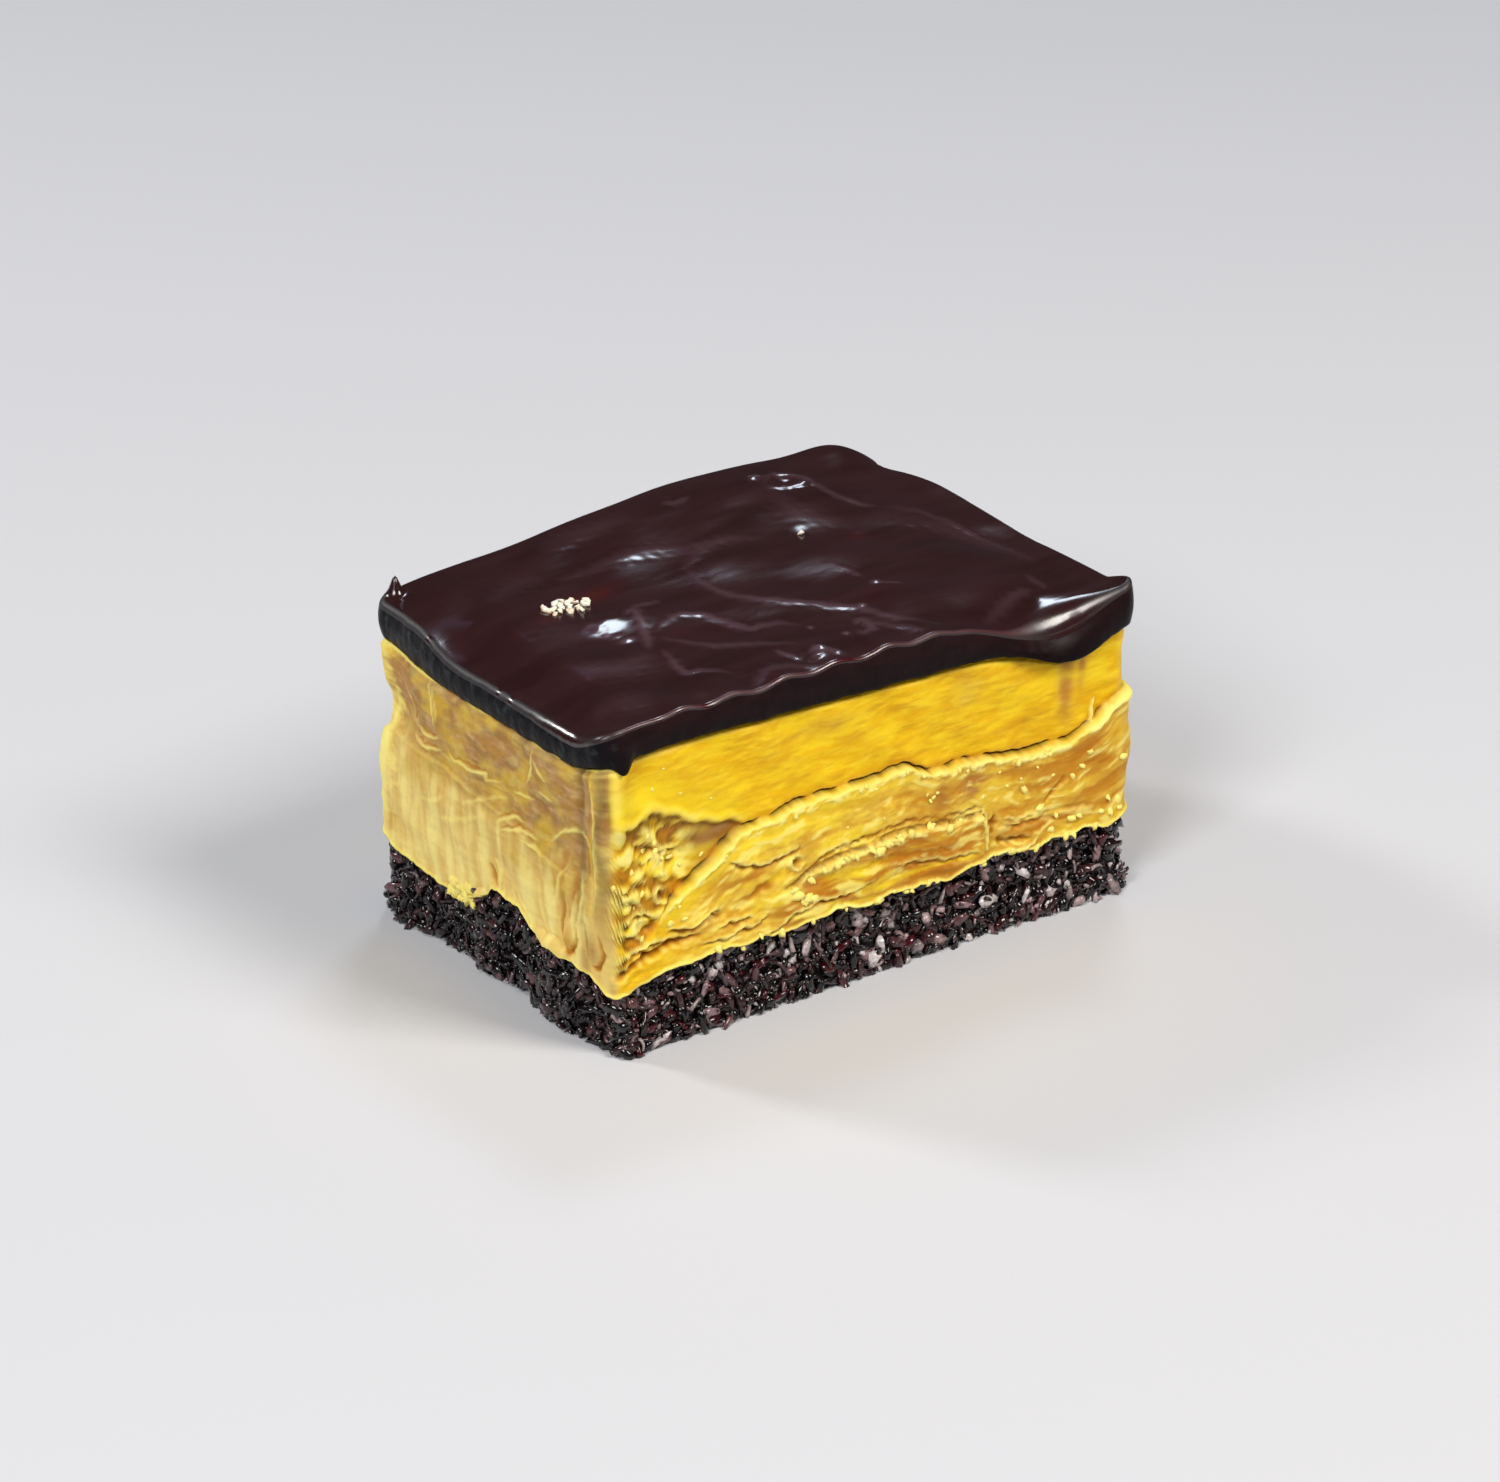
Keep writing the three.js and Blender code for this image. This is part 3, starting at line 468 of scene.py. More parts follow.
def marks(strokes, spots, u, v, wobble, spread=1.0):
    """The height, pale, amber and brown tones that strokes and spots give at each place: pale paints
    highlight and sheen, amber and brown in grooves, pits and gaps paint shade. A stroke thins out towards
    both ends."""
    total = np.zeros((4, len(u)))
    wobbly_u = u + wobble * (0.1 * np.sin(2.6 * v + 1.1 * u) + 0.06 * np.sin(6.1 * v - 3.7 * u))
    wobbly_v = v + wobble * (0.1 * np.sin(2.3 * u - 1.4 * v) + 0.06 * np.sin(5.7 * u + 4.1 * v))
    for stroke in strokes:
        away, along = along_route(stroke.route, wobbly_u, wobbly_v)
        taper = np.sin(np.pi * np.clip(along, 0.02, 0.98)) ** 0.6
        uneven = 1 + 0.3 * np.sin(u * 3.1 + v * 2.3) * np.sin(u * 1.3 - v * 1.9)
        thick = spread * stroke.width * uneven * mix(0.4, 1, taper)
        ridge = np.exp(-((away / thick) ** 2)) * taper
        total += np.outer((stroke.height, stroke.pale, stroke.amber, 0), ridge)
        if stroke.sheet:
            inner = step(along, 0, 0.25) * (1 - step(along, 0.75, 1))
            layer = np.where(away > 0, np.exp(-np.abs(away) / stroke.sheet), 0) * inner
            gap = hump(away, -2.1 * thick, thick) * inner
            total[0] += stroke.height * (0.7 * layer * (1 - ridge) - 1.1 * gap)
            # The narrow gap is painted amber as shade.
            total[2] += 0.8 * gap
    for spot in spots:
        shape = hump(u, spot.place[0], spot.spread[0]) * hump(v, spot.place[1], spot.spread[1])
        total += np.outer((spot.height, spot.pale, spot.amber, spot.dusk), shape)
    return total


# The block's plan
def plan_of(square):
    """From the square of side 2 to the rounded plan: places, and the outward direction at its rim."""
    half = np.array((LENGTH, WIDTH)) / 2
    straight = half - CORNER_RADIUS
    place = np.abs(square * half)
    beyond = np.clip(place - straight, 0, None) / CORNER_RADIUS
    rounded = beyond * np.sqrt(1 - beyond[:, ::-1] ** 2 / 2)
    plan = np.minimum(place, straight) + rounded * CORNER_RADIUS
    return np.sign(square) * plan, np.sign(square) * rounded


def rim_square(share, shares=LENGTH_SHARES):
    """Places on the square's rim. Share runs from 0 to 1 along the front, right, back and left."""
    corners = np.array([(-1, -1), (1, -1), (1, 1), (-1, 1), (-1, -1)])
    ends = np.cumsum([0, *shares]) / sum(shares)
    return np.column_stack([np.interp(share % 1, ends, corners[:, axis]) for axis in (0, 1)])


def facing(out):
    """How much of each outward direction belongs to each face."""
    return {
        "front": np.clip(-out[:, 1], 0, None) ** 2,
        "back": np.clip(out[:, 1], 0, None) ** 2,
        "left": np.clip(-out[:, 0], 0, None) ** 2,
        "right": np.clip(out[:, 0], 0, None) ** 2,
    }


def by_face(face, values):
    return sum(face[name] * values[name] for name in face)


# Heights of the surfaces where layers meet, and how far sides stand out: the part's forms, a little finer
def base_top(x, y):
    near_left, near_front = 1 - step(x, -28, -15), 1 - step(y, -18, -9)
    heaped = relief(BASE_LEFT_MOUNDS, x, y) * near_left + relief(BASE_CORNER_MOUNDS, x, y)
    ripple = (0.22 * np.sin(x * 0.62) + 0.16 * np.sin(x * 1.27 + 1)) * near_front
    return BASE_HEIGHT + heaped + ripple + 0.15 * np.sin(y * 0.5 + x * 0.3)


def custard_top(x, y):
    left_fall = CUSTARD_LEFT_FALL * step(y, -20.5, -14) * (1 - 0.35 * step(y, 8, 20)) * hump(x, -31.5, 7)
    return CUSTARD_TOP + CUSTARD_SLOPE * x + relief(CUSTARD_MOUNDS, x, y) - left_fall


def chocolate_top(x, y):
    left_fall = CHOCOLATE_LEFT_FALL * step(y, -21, -14.5) * (1 - 0.6 * step(y, 4, 12)) * hump(x, -32, 4.5)
    right_fall = CHOCOLATE_RIGHT_FALL * step(x, 13, 27) * (1 - step(y, -6, 16))
    swirl = SWIRL_HEIGHT * np.sin(0.42 * x + 2.1 * np.sin(0.16 * y + 0.6)) * np.sin(0.33 * y - 0.12 * x)
    swirl = swirl * mix(0.3, 1, step(np.minimum(LENGTH / 2 - np.abs(x), WIDTH / 2 - np.abs(y)), 0, 5))
    front_edge = hump(y, -20, 3.5) * step(x, -28, -22) * (1 - step(x, 4, 12))
    ripple = RIPPLE_HEIGHT * np.sin(x * 1.05 + 0.8) * front_edge
    return CHOCOLATE_TOP + relief(CHOCOLATE_MOUNDS, x, y) - left_fall - right_fall + swirl + ripple


def base_side(x, y, face, z):
    spread = by_face(face, {**BASE_FOOT, "left": BASE_FOOT["left"] * step(y, 10, 17)})
    foot = spread * step(5.5 - z, 0, 5.5)
    slant = face["front"] * (FRONT_SLANT * x + 0.35 * step(x, 14, 22))
    wander = 0.9 * hump(y, 2, 2.2) + 1.4 * hump(y, -10.5, 4) + 0.7 * hump(y, 17, 4)
    return by_face(face, BASE_LEAN) + foot + slant + face["left"] * wander


def chocolate_side(x, y, face, level):
    bulge = 0.4 * np.sin(np.pi * np.minimum(1, 0.15 + level * 0.75))
    sagging = SAG.height * hump(x, SAG.x, SAG.spread_x) * (1 - 0.75 * level)
    scooped = 0.7 * hump(x, SCOOP.x, SCOOP.spread_x) * level
    lean = by_face(face, CHOCOLATE_LEAN) + 0.35 * face["left"] * level - 1.1 * face["right"] * level
    lean = lean + 1.1 * face["back"] * hump(x, 8, 13) - 0.9 * face["left"] * step(y, 5, 17)
    return lean + bulge + face["front"] * (FRONT_SLANT * x + sagging - scooped)


def ledge_height(x, y, face):
    """Where the torn ledge runs round the block. On the front it passes the places of FRONT_LEDGE."""
    height = by_face(face, {
        "front": height_at(FRONT_LEDGE, x),
        "back": 17.4 + 1.6 * np.sin(x * 0.13 + 0.5),
        "left": 17.5 + 3.5 * step(y, -18, 8),
        "right": 22.1 - 3.6 * step(y, -18, 2),
    })
    return height + 0.24 * lumps(np.column_stack([x, y, 0 * x]), 1.5, 3, 3) * (1 - face["left"])


def lip_height(x, y):
    """The custard's lower edge: a ragged droop over the base, which stays under the heap's top."""
    places = np.column_stack(np.broadcast_arrays(x, y, 0.0))
    ragged = 0.34 * lumps(places, 4.2, 2, 23) + 0.3 * lumps(places, 1.4, 3, 13)
    return np.minimum(base_top(x, y), HEAP_TOP) - LIP_DROP - ragged


CUSTARD_TONES = ("lower", "cream", "dusk", "pale", "lemon", "amber", "crack")


def above_base(depth, hold, lip, z):
    """Near its lip the custard stays in front of the base that it hangs over."""
    return np.maximum(depth, hold + LIP_OVERHANG * step(z - lip, -0.01, 0.3) - 1.6 * step(z - lip, 0.6, 2.6))


class Custard:
    """The custard's side: how far it stands out at each place, and the tones of its surface."""

    def __init__(self, x, y, out, z):
        self.x, self.y, self.z = x, y, z
        self.face = facing(out)
        self.front = step(-out[:, 1], 0.45, 0.8)
        self.left = step(-out[:, 0], 0.1, 0.4) * (1 - self.front)
        self.ledge = ledge_height(x, y, self.face)
        self.lip = lip_height(x, y)
        self.down = (self.ledge - z) / np.maximum(self.ledge - self.lip, 1)
        self.points = np.column_stack([x, y, z])
        self.tones = {name: np.zeros(len(x)) for name in CUSTARD_TONES}
        self.depth = self.form() + self.skin() + self.torn_ledge() + self.lower_ledge() + self.torn_patch()
        self.depth += self.under_ledge() + self.left_face() + self.far_faces() + self.surface()
        self.add_marks(self.front, 1, FRONT_STROKES, FRONT_SPOTS, x)
        self.add_marks(self.left, 0.4, LEFT_STROKES, LEFT_SPOTS, y)

    def lumps(self, size, octaves, shift):
        return lumps(self.points, size, octaves, shift)

    def streaks(self, long, across, octaves, shift):
        """Noise drawn out along the ledge: how long its streaks are, and how many lie from ledge to lip."""
        flow = np.column_stack([self.x / long, self.y / long, self.down * across])
        return lumps(flow, 1.0, octaves, shift)

    def tint(self, **shares):
        for tone, share in shares.items():
            self.tones[tone] += share

    def add_marks(self, on_face, strength, strokes, spots, across):
        seen = on_face > 0
        given = marks(strokes, spots, across[seen], self.z[seen], strength) * on_face[seen]
        self.depth[seen] += strength * given[0]
        for tone, values in zip(("pale", "amber", "dusk"), given[1:]):
            self.tones[tone][seen] += values * mix(0.5, 1, strength)

    def form(self):
        """The broad form, close to the part's: lean, belly, neck and a bead down the near corner."""
        x, y, z, face = self.x, self.y, self.z, self.face
        belly = 0.8 * hump(z, 15.5, 5.5) * by_face(
            face, {"front": 0, "back": 0.6 * hump(x, 24, 9), "left": 0.65, "right": 1.3}
        )
        neck = 0.65 * hump(z, 23.2, 2.4) * by_face(
            face, {"front": 0, "back": 0.5, "left": step(y, 8, 17), "right": 1}
        )
        lean = by_face(face, CUSTARD_LEAN) + face["left"] * 0.05 * z + face["front"] * FRONT_SLANT * x
        at_corner = hump(x, -30.1, 1.2) * hump(y, -18.9, 1.2)
        wave = 0.22 * np.sin(x * 0.7 + z * 0.5) * np.sin(y * 0.6 - z * 0.35 + 1)
        pinch = face["left"] * (0.45 + 0.6 * hump(z, 23, 2.2)) * step(y, 8, 17) * step(z, 12, 16)
        tuck = 0.5 * step(z - custard_top(x, y), -0.6, 0)
        return lean + belly - neck + 0.4 * at_corner * (0.7 + 0.3 * np.sin(z * 0.9)) + wave - pinch - tuck

    def skin_edge(self):
        """The lower edge of the front's smooth skin, at the left where it has pulled away."""
        return height_at(SKIN_EDGE, self.x) + 0.15 * np.sin(self.x * 2.1)

    def skin(self):
        """The smooth skin above the ledge: cloudy, with a thin rim round its left end painted lemon and pale
        as highlight.
        """
        x, z = self.x, self.z
        over = z - self.skin_edge()
        cloud = self.lumps((5, 5, 2.0), 3, 41)
        upper = self.front * step(z - self.ledge, 0.3, 1)
        left_end = self.front * (1 - step(x, -18.5, -14)) * step(over, -0.3, 0.2)
        rim = np.clip(hump(over, 0.55, 0.5) + hump(x, -30.4, 0.6) * step(z, 23.5, 25), 0, 1)
        self.tint(
            lemon=upper * 0.4 * step(cloud, -0.1, 0.6) + left_end * (0.8 * rim + 0.5 * hump(over, 2, 1.6)),
            amber=upper * 0.12 * step(-cloud, 0, 0.6),
            pale=left_end * rim * 0.35 * step(cloud, -0.3, 0.2),
            dusk=left_end * 0.4 * hump(x, -28.6, 0.6) * hump(z, 26.6, 1.6),
        )
        return 0.16 * left_end * rim

    def torn_ledge(self):
        """The part under the ledge stands out, with an uneven crest and the band under it painted pale and
        lemon as highlight, and a broken crack above it painted dark and amber as shade.
        """
        x, y, face, front = self.x, self.y, self.face, self.front
        above = self.z - self.ledge
        share = by_face(face, {
            "front": step(x, -27, -21),
            "back": 0.7,
            "left": 0.45 * step(y, -17, -12),
            "right": 0.55,
        })
        far = np.clip(face["right"] + face["back"], 0, 1)
        below = step(-above, -0.05, 0.25)
        fading = 0.8 + 0.2 * np.exp(np.minimum(above, 0) / 3)
        on_front = front * step(x, -25.8, -24.6)
        uneven = np.clip(0.5 + 0.9 * self.lumps((1.3, 1.3, 0.7), 3, 11), 0, 1)
        open_part = step(self.lumps((2.6, 2.6, 9), 2, 4), -0.2, 0.2)
        left_part = on_front * (1 - step(x, -7, 4))
        crest = hump(above, mix(-0.25, -0.6, uneven), mix(0.15, 0.45, uneven)) * (on_front + 0.5 * far)
        crack = hump(above, 0.1, 0.13) * open_part * np.clip(on_front + 0.4 * far, 0, 1)
        self.tint(
            lower=below * np.clip(share, 0, 1) * np.clip(front + far, 0, 1),
            lemon=0.6 * crest + left_part * 0.6 * hump(above, -1.2, 1.0),
            pale=crest * (0.4 + 0.9 * step(uneven, 0.35, 0.8)),
            crack=crack,
            amber=0.5 * on_front * step(above, -0.05, 0.1) * hump(above, 0.3, 0.5),
        )
        return LEDGE_DEPTH * share * below * fading + crest * 0.18 * uneven - 0.5 * crack

    def lower_ledge(self):
        """A second, lower tear on the front: broken cream along its edge painted pale as highlight, amber
        shade painted under it, a broken groove painted dark as shade, and long deep streaks below, partly
        darkened as painted shade.
        """
        x, z, front = self.x, self.z, self.front
        ragged = 0.25 * lumps(np.column_stack([x, 0 * x, 0 * x]), 1.6, 3, 19)
        above = z - height_at(LOWER_LEDGE, x) - ragged
        run = front * step(x, -15, -9) * (1 - 0.6 * step(x, 12.1, 12.5)) * (1 - step(x, 24, 27))
        uneven = np.clip(0.5 + 0.8 * self.lumps((1.7, 1.7, 0.8), 2, 23), 0, 1)
        broken = step(self.lumps((2, 2, 9), 2, 26), -0.3, 0.1)
        crest = hump(above, mix(-0.25, -0.6, uneven), mix(0.15, 0.5, uneven)) * run * step(uneven, 0.25, 0.8)
        shelf = step(-above, -0.1, 0.3) * run
        deep = run * step(-above, 0.6, 1.6) * step(z - self.lip, 0.2, 0.9)
        stripes = self.lumps((9, 9, 0.8), 3, 29)
        self.tint(
            pale=1.1 * crest,
            amber=deep * (0.4 + 0.5 * step(stripes, -0.3, 0.5)) + 0.3 * shelf * hump(above, -0.9, 0.4),
            lemon=deep * 0.5 * step(-stripes, 0.15, 0.5),
            dusk=0.3 * deep,
            crack=run * hump(above, 0.12, 0.15) * broken * 0.6 + 0.25 * deep * step(stripes, 0.25, 0.6),
        )
        groove = 0.2 * run * hump(above, 0.15, 0.2) * broken
        return 0.45 * shelf + 0.25 * crest + 0.08 * deep * stripes - groove

    def torn_patch(self):
        """Where the front's smooth skin has pulled away at the left: soft broken cream, and under the
        skin's edge a shadowed hollow."""
        x, z = self.x, self.z
        under = self.skin_edge() - z
        torn = self.front * step(under, -0.05, 0.25) * step(z - self.ledge, -0.3, 0.3)
        torn = torn * (1 - step(x, -16.5, -14.6))
        fine = self.lumps((1.3, 1.3, 0.9), 2, 37)
        blobs = self.lumps((3, 3, 1.4), 2, 31) + 0.35 * fine
        raised = step(blobs, -0.2, 0.25)
        creamy = 1 - step(x, -24.5, -20)
        shadow = hump(under, 0.8, mix(0.9, 2.1, step(x, -27, -22)))
        # Pale and lemon on the raised lumps paint highlights; amber in the low parts, and brown and the crack
        # tone in the shadow under the skin's edge, paint shade.
        self.tint(
            lemon=torn * creamy * raised * (0.5 + 0.5 * step(fine, -0.3, 0.3)) * (1 - 0.6 * shadow),
            pale=torn * creamy * step(blobs + 0.4 * fine, 0.25, 0.6),
            dusk=torn * (0.8 * shadow + 0.4 * (1 - creamy)),
            amber=torn * (0.25 + 0.5 * creamy * (1 - raised)),
            crack=torn * (0.3 * shadow + 0.45 * creamy * hump(blobs, -0.3, 0.1)),
        )
        return torn * (creamy * (0.4 * raised + 0.1 * fine) - 0.4)

    def under_ledge(self):
        """Soft streaks that run along the ledge, on the stretch between it and the lip."""
        broad, fine = self.streaks(9, 7, 3, 53), self.streaks(2.6, 14, 3, 59)
        region = self.front * step(self.down, 0.04, 0.12) * step(self.x, -24.5, -21)
        orange = step(self.x, 0, 18)
        self.tint(
            lemon=region * 0.55 * step(broad + 0.5 * fine, 0.0, 0.4) * (1 - 0.6 * orange),
            pale=region * 0.55 * step(fine + 0.5 * broad, 0.25, 0.55),
            amber=region * (0.5 * step(-broad - 0.3 * fine, 0.0, 0.45) + 0.3 * orange),
        )
        return region * (0.1 * broad + 0.04 * fine)

    def left_face(self):
        """Brown clouds above, smears and painted shade; pale cream below, partly painted light; dark strips
        of painted shade by the corner.
        """
        y, z, left = self.y, self.z, self.left
        cloud, brushed = self.lumps((4, 3.4, 2.4), 3, 61), self.lumps((3, 1.9, 0.9), 3, 67)
        drag = self.lumps((3, 1.5, 9), 3, 47)
        upper = step(z + 2.4 * cloud - 0.1 * y, 15.5, 22.5)
        low = 1 - upper
        swayed = y + 0.3 * np.sin(0.7 * z + 1) * step(-18.2 - y, -1.5, 0) + 0.25 * drag
        strips = hump(swayed, -15.3, 0.8) + 0.6 * step(-swayed, 17.9, 18.7) - 0.7 * hump(swayed, -17.3, 0.3)
        strips = strips * mix(0.55, 1, step(z, 15, 21))
        # The far end of the left face is painted pale, as a rim of light.
        far_edge = step(y + 1.6 * brushed + 1.2 * cloud, 15.6, 18.6)
        golden = upper * step(cloud, -0.3, 0.7)
        brown_shade = upper * (1.0 + 0.3 * brushed) - 0.4 * golden + 0.25 * low * hump(z, 16, 3)
        darkest = 0.35 * hump(swayed, -15.3, 0.45) + 0.35 * hump(swayed, -18.1, 0.3)
        self.tint(
            lower=0.9 * left,
            dusk=left * np.clip(brown_shade + strips - far_edge, 0, 1),
            amber=left * (0.2 * upper * step(-cloud, -0.2, 0.7) + 0.15 * low * step(-drag, 0, 0.6)),
            cream=left * low * (0.6 + 0.4 * step(drag, -0.3, 0.6)),
            pale=left * (0.45 * low * step(drag, -0.1, 0.6) + 0.5 * far_edge),
            crack=left * darkest * step(z, 12, 19),
        )
        self.tint(pale=left * upper * 0.15 * step(brushed, 0.1, 0.6), lemon=left * 0.15 * golden)
        return left * (0.12 * drag * mix(1, 0.35, upper) + 0.05 * brushed - 0.3 * np.clip(strips, 0, 1))

    def far_faces(self):
        """Soft tears and streaks on the back and the right face, pale beside the left face as a painted rim
        of light along that edge.
        """
        far = np.clip(self.face["back"] + self.face["right"], 0, 1)
        tears, under = self.streaks(6, 7, 3, 73), step(self.down, 0, 0.08)
        cloud = self.lumps((4.5, 4.5, 2.2), 3, 77)
        near_left = 1 - step(self.x + 2 * cloud, -30.5, -25.5)
        self.tint(
            pale=far * (0.6 * under * step(tears, 0.1, 0.5) + 0.45 * near_left),
            amber=far * under * 0.5 * step(-tears, 0.05, 0.5)
            + far * 0.25 * (1 - under) * step(-cloud, 0.1, 0.5),
            lemon=far * (1 - under) * 0.6 * step(cloud, 0.05, 0.45),
        )
        return far * (tears * mix(0.06, 0.25, under) + 0.08 * cloud)

    def surface(self):
        """Gentle unevenness all over, and the drooping lip, painted pale and lemon as highlight."""
        lip = hump(self.z - self.lip, 0.16, 0.24)
        self.tint(lemon=0.6 * lip, pale=0.7 * lip)
        return 0.05 * self.lumps((2.4, 2.4, 1.0), 3, 89) + 0.2 * lip


def ring_place(circle, shares):
    """The square's rim place for each vertex of a round block, and its reach from the middle."""
    share = np.arctan2(circle[:, 1], circle[:, 0]) / math.tau
    return rim_square(share, shares), np.hypot(*circle.T)


def custard_shape(circle, level):
    """Places and tones of the custard's vertices."""
    rim, reach = ring_place(circle, CUSTARD_SHARES)
    plan, out = plan_of(rim)
    x, y = plan.T
    lip = lip_height(x, y)
    ledge = ledge_height(x, y, facing(out))
    low = level < 0.5
    climb = np.where(low, level, level - 0.5) / 0.5
    eased = mix(climb, step(climb, 0, 1), 0.4)
    z = np.where(low, mix(lip, ledge, eased), mix(ledge, custard_top(x, y), eased))
    side = Custard(x, y, out, z)
    seat = base_top(x, y) + LAYER_GAP
    hold = base_side(x, y, facing(out), seat) + LAYER_GAP
    offset = above_base(side.depth, hold, lip, z)
    wall = reach > WALL_REACH
    seated = wall & (level <= 0)
    offset = np.where(seated, hold, offset)
    place = (plan + out * offset[:, None]) * reach[:, None]
    inner = np.where(low, base_top(*place.T) + LAYER_GAP, custard_top(*place.T))
    z = np.where(seated, seat, np.where(wall, z, inner))
    tones = {name: np.clip(values, 0, 1) for name, values in side.tones.items()}
    return np.column_stack([place, z]), tones


def chocolate_marks(x, y):
    """Fine relief of the chocolate's surface, the paler sheen painted along its smears, and the tones of its
    stains.
    """
    height, painted_sheen, _, _ = marks(TOP_STROKES, [], x, y, wobble=0.35, spread=1.7)
    spot_height, spot_painted_sheen, stain, _ = marks([], TOP_SPOTS, x, y, wobble=0)
    streaks = lumps(np.column_stack([x, y, 0 * x]), (7, 2.6, 1), 2, 17)
    height = 0.85 * height + spot_height + 0.03 * streaks
    return height, 0.55 * painted_sheen + spot_painted_sheen, 0.5 * stain


def rim_radius(x, y, face):
    """How far the chocolate's rim is rounded: wide by the near left corner and where it sags in front."""
    return by_face(face, {
        **RIM_RADIUS,
        "front": RIM_RADIUS["front"] + relief([FRONT_RIM_SAG], x, y),
        "left": RIM_RADIUS["left"] + relief([LEFT_RIM_SAG], x, y),
    })


def chocolate_shape(square, level):
    """Places and tones of the chocolate's vertices. Its upper rows are the rounded rim."""
    reach = np.abs(square).max(axis=1)
    rim_plan, out = plan_of(square / np.maximum(reach, 1e-6)[:, None])
    face = facing(out)
    x, y = rim_plan.T
    wall = reach > WALL_REACH
    rim_level = 1 - RIM_ROWS / CHOCOLATE_ROWS
    rim_share = np.clip((level - rim_level) / (1 - rim_level), 0, 1)
    side_level = np.clip(level / rim_level, 0, 1)
    radius = rim_radius(x, y, face)
    tag, notch, spike = (relief([form], x, y) for form in (HANGING_TAG, CORNER_NOTCH, CORNER_SPIKE))
    grain = lumps(np.column_stack([x, y, level * 3]), (1.3, 1.3, 2.2), 3, 5)
    drip = 0.14 * step(lumps(np.column_stack([x, y, 0 * x]), 2.6, 2, 8), -0.2, 0.6)
    out_by = chocolate_side(x, y, face, side_level) + spike * side_level
    out_by = out_by + 0.45 * tag * (1 - side_level) - 0.3 * notch * side_level
    inset = radius * (1 - np.cos(rim_share * np.pi / 2))
    on_wall = out_by - inset + mix(0.04, 0.09, face["left"]) * grain * (1 - rim_share)
    offset = np.where(wall, on_wall, (out_by - radius) * step(reach, 0.55, 1))
    # The far right corner is drawn in along the diagonal, so that the rim doesn't fold over itself
    cut = relief([CORNER_CUT], x, y) * mix(0.8, 1, side_level) * step(reach, 0.55, 1)
    place = plan_of(square)[0] + out * offset[:, None] - cut[:, None] * math.sqrt(0.5)
    bottom = custard_top(x, y) + LAYER_GAP - 1.1 * tag - drip
    height, painted_sheen, stain = chocolate_marks(*place.T)
    surface = chocolate_top(*place.T) + height + relief([LEFT_PEAK], *place.T)
    shoulder = surface - radius * (1 - np.sin(rim_share * np.pi / 2))
    side_z = mix(bottom, surface - radius, side_level)
    z = np.where(wall, np.where(level > rim_level, shoulder, side_z), surface)
    z = np.where(~wall & (level < 0.5), custard_top(*place.T) + LAYER_GAP, z)
    glint = np.clip(relief(RIM_GLINTS, x, y), 0, 1)
    # The rim tone paints a thin red-brown line where the front rim rounds over, as a reddish highlight.
    return np.column_stack([place, z]), {
        "rim": wall * hump(rim_share, 0.55, 0.3) * face["front"] * (1 - step(x, 16, 20)),
        "dull": wall * (1 - glint) * (1 - step(rim_share, 0.8, 1)),
        "painted_cool_sheen": face["left"],
        "deep": wall * (1 - side_level),
        "painted_sheen": np.clip(painted_sheen, 0, 1),
        "stain": np.clip(stain, 0, 1),
    }


def base_shape(circle, level):
    """Places of the base's core, whose sides lie a little under the crumbs."""
    rim, reach = ring_place(circle, LENGTH_SHARES)
    plan, out = plan_of(rim)
    x, y = plan.T
    face = facing(out)
    z = base_top(x, y) * level
    rough = lumps(np.column_stack([x, y, z]), 1.1, 3, 3)
    tuck = 0.35 * (step(level, 0.85, 1) + step(0.12 - level, 0, 0.1))
    offset = base_side(x, y, face, z) - 0.4 + 0.35 * rough - tuck
    place = (plan + out * offset[:, None]) * reach[:, None]
    z = np.where(reach > WALL_REACH, z, base_top(*place.T) * (level > 0.5))
    return np.column_stack([place, z]), {}


# Making of meshes
def add_object(name, data):
    """Puts an object with this mesh, light or camera into the scene."""
    made = bpy.data.objects.new(name, data)
    bpy.context.scene.collection.objects.link(made)
    return made


def new_piece(name, mesh, slot, *materials):
    """Puts a finished mesh into the scene in place of its layer, riding on the body."""
    piece = add_object(name, mesh)
    for material in materials:
        mesh.materials.append(material)
    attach(piece, "root")
    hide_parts(slot)


def mesh_of(bm, name):
    """Turns a worked shape into a mesh, and lets go of the shape."""
    mesh = bpy.data.meshes.new(name)
    bm.to_mesh(mesh)
    bm.free()
    return mesh


def extrude_rim(bm, rim):
    """Extrudes a closed rim in place. Returns its new edges and vertices."""
    made = bmesh.ops.extrude_edge_only(bm, edges=rim)["geom"]
    kinds = bmesh.types.BMEdge, bmesh.types.BMVert
    return [[item for item in made if isinstance(item, kind)] for kind in kinds]


def pull_in(bm, rim):
    """Extrudes a closed rim inwards, ring by ring, and closes it at the middle."""
    scale = 1
    for size in (0.97, 0.9, 0.6, 0.2):
        rim, verts = extrude_rim(bm, rim)
        bmesh.ops.scale(bm, vec=(size / scale, size / scale, 1), verts=verts)
        scale = size
    bmesh.ops.pointmerge(bm, verts=verts, merge_co=(0, 0, verts[0].co.z))


def wall_down(bm, rim, rows):
    """Extrudes a rim from height 1 down to height 0, row by row, and closes it underneath."""
    for _ in range(rows):
        rim, verts = extrude_rim(bm, rim)
        bmesh.ops.translate(bm, vec=(0, 0, -1 / rows), verts=verts)
    pull_in(bm, rim)


def finished(bm, name, shape):
    """The mesh with its vertices moved to where shape puts them, and the tones that it gives."""
    bmesh.ops.recalc_face_normals(bm, faces=bm.faces)
    mesh = mesh_of(bm, name)
    places = vertex_values(mesh, "co")
    shaped, tones = shape(places[:, :2], np.round(places[:, 2], 6))
    mesh.vertices.foreach_set("co", (shaped * MM).ravel())
    for tone, values in tones.items():
        store_tone(mesh, tone, values)
    mesh.shade_smooth()
    mesh.update()
    return mesh


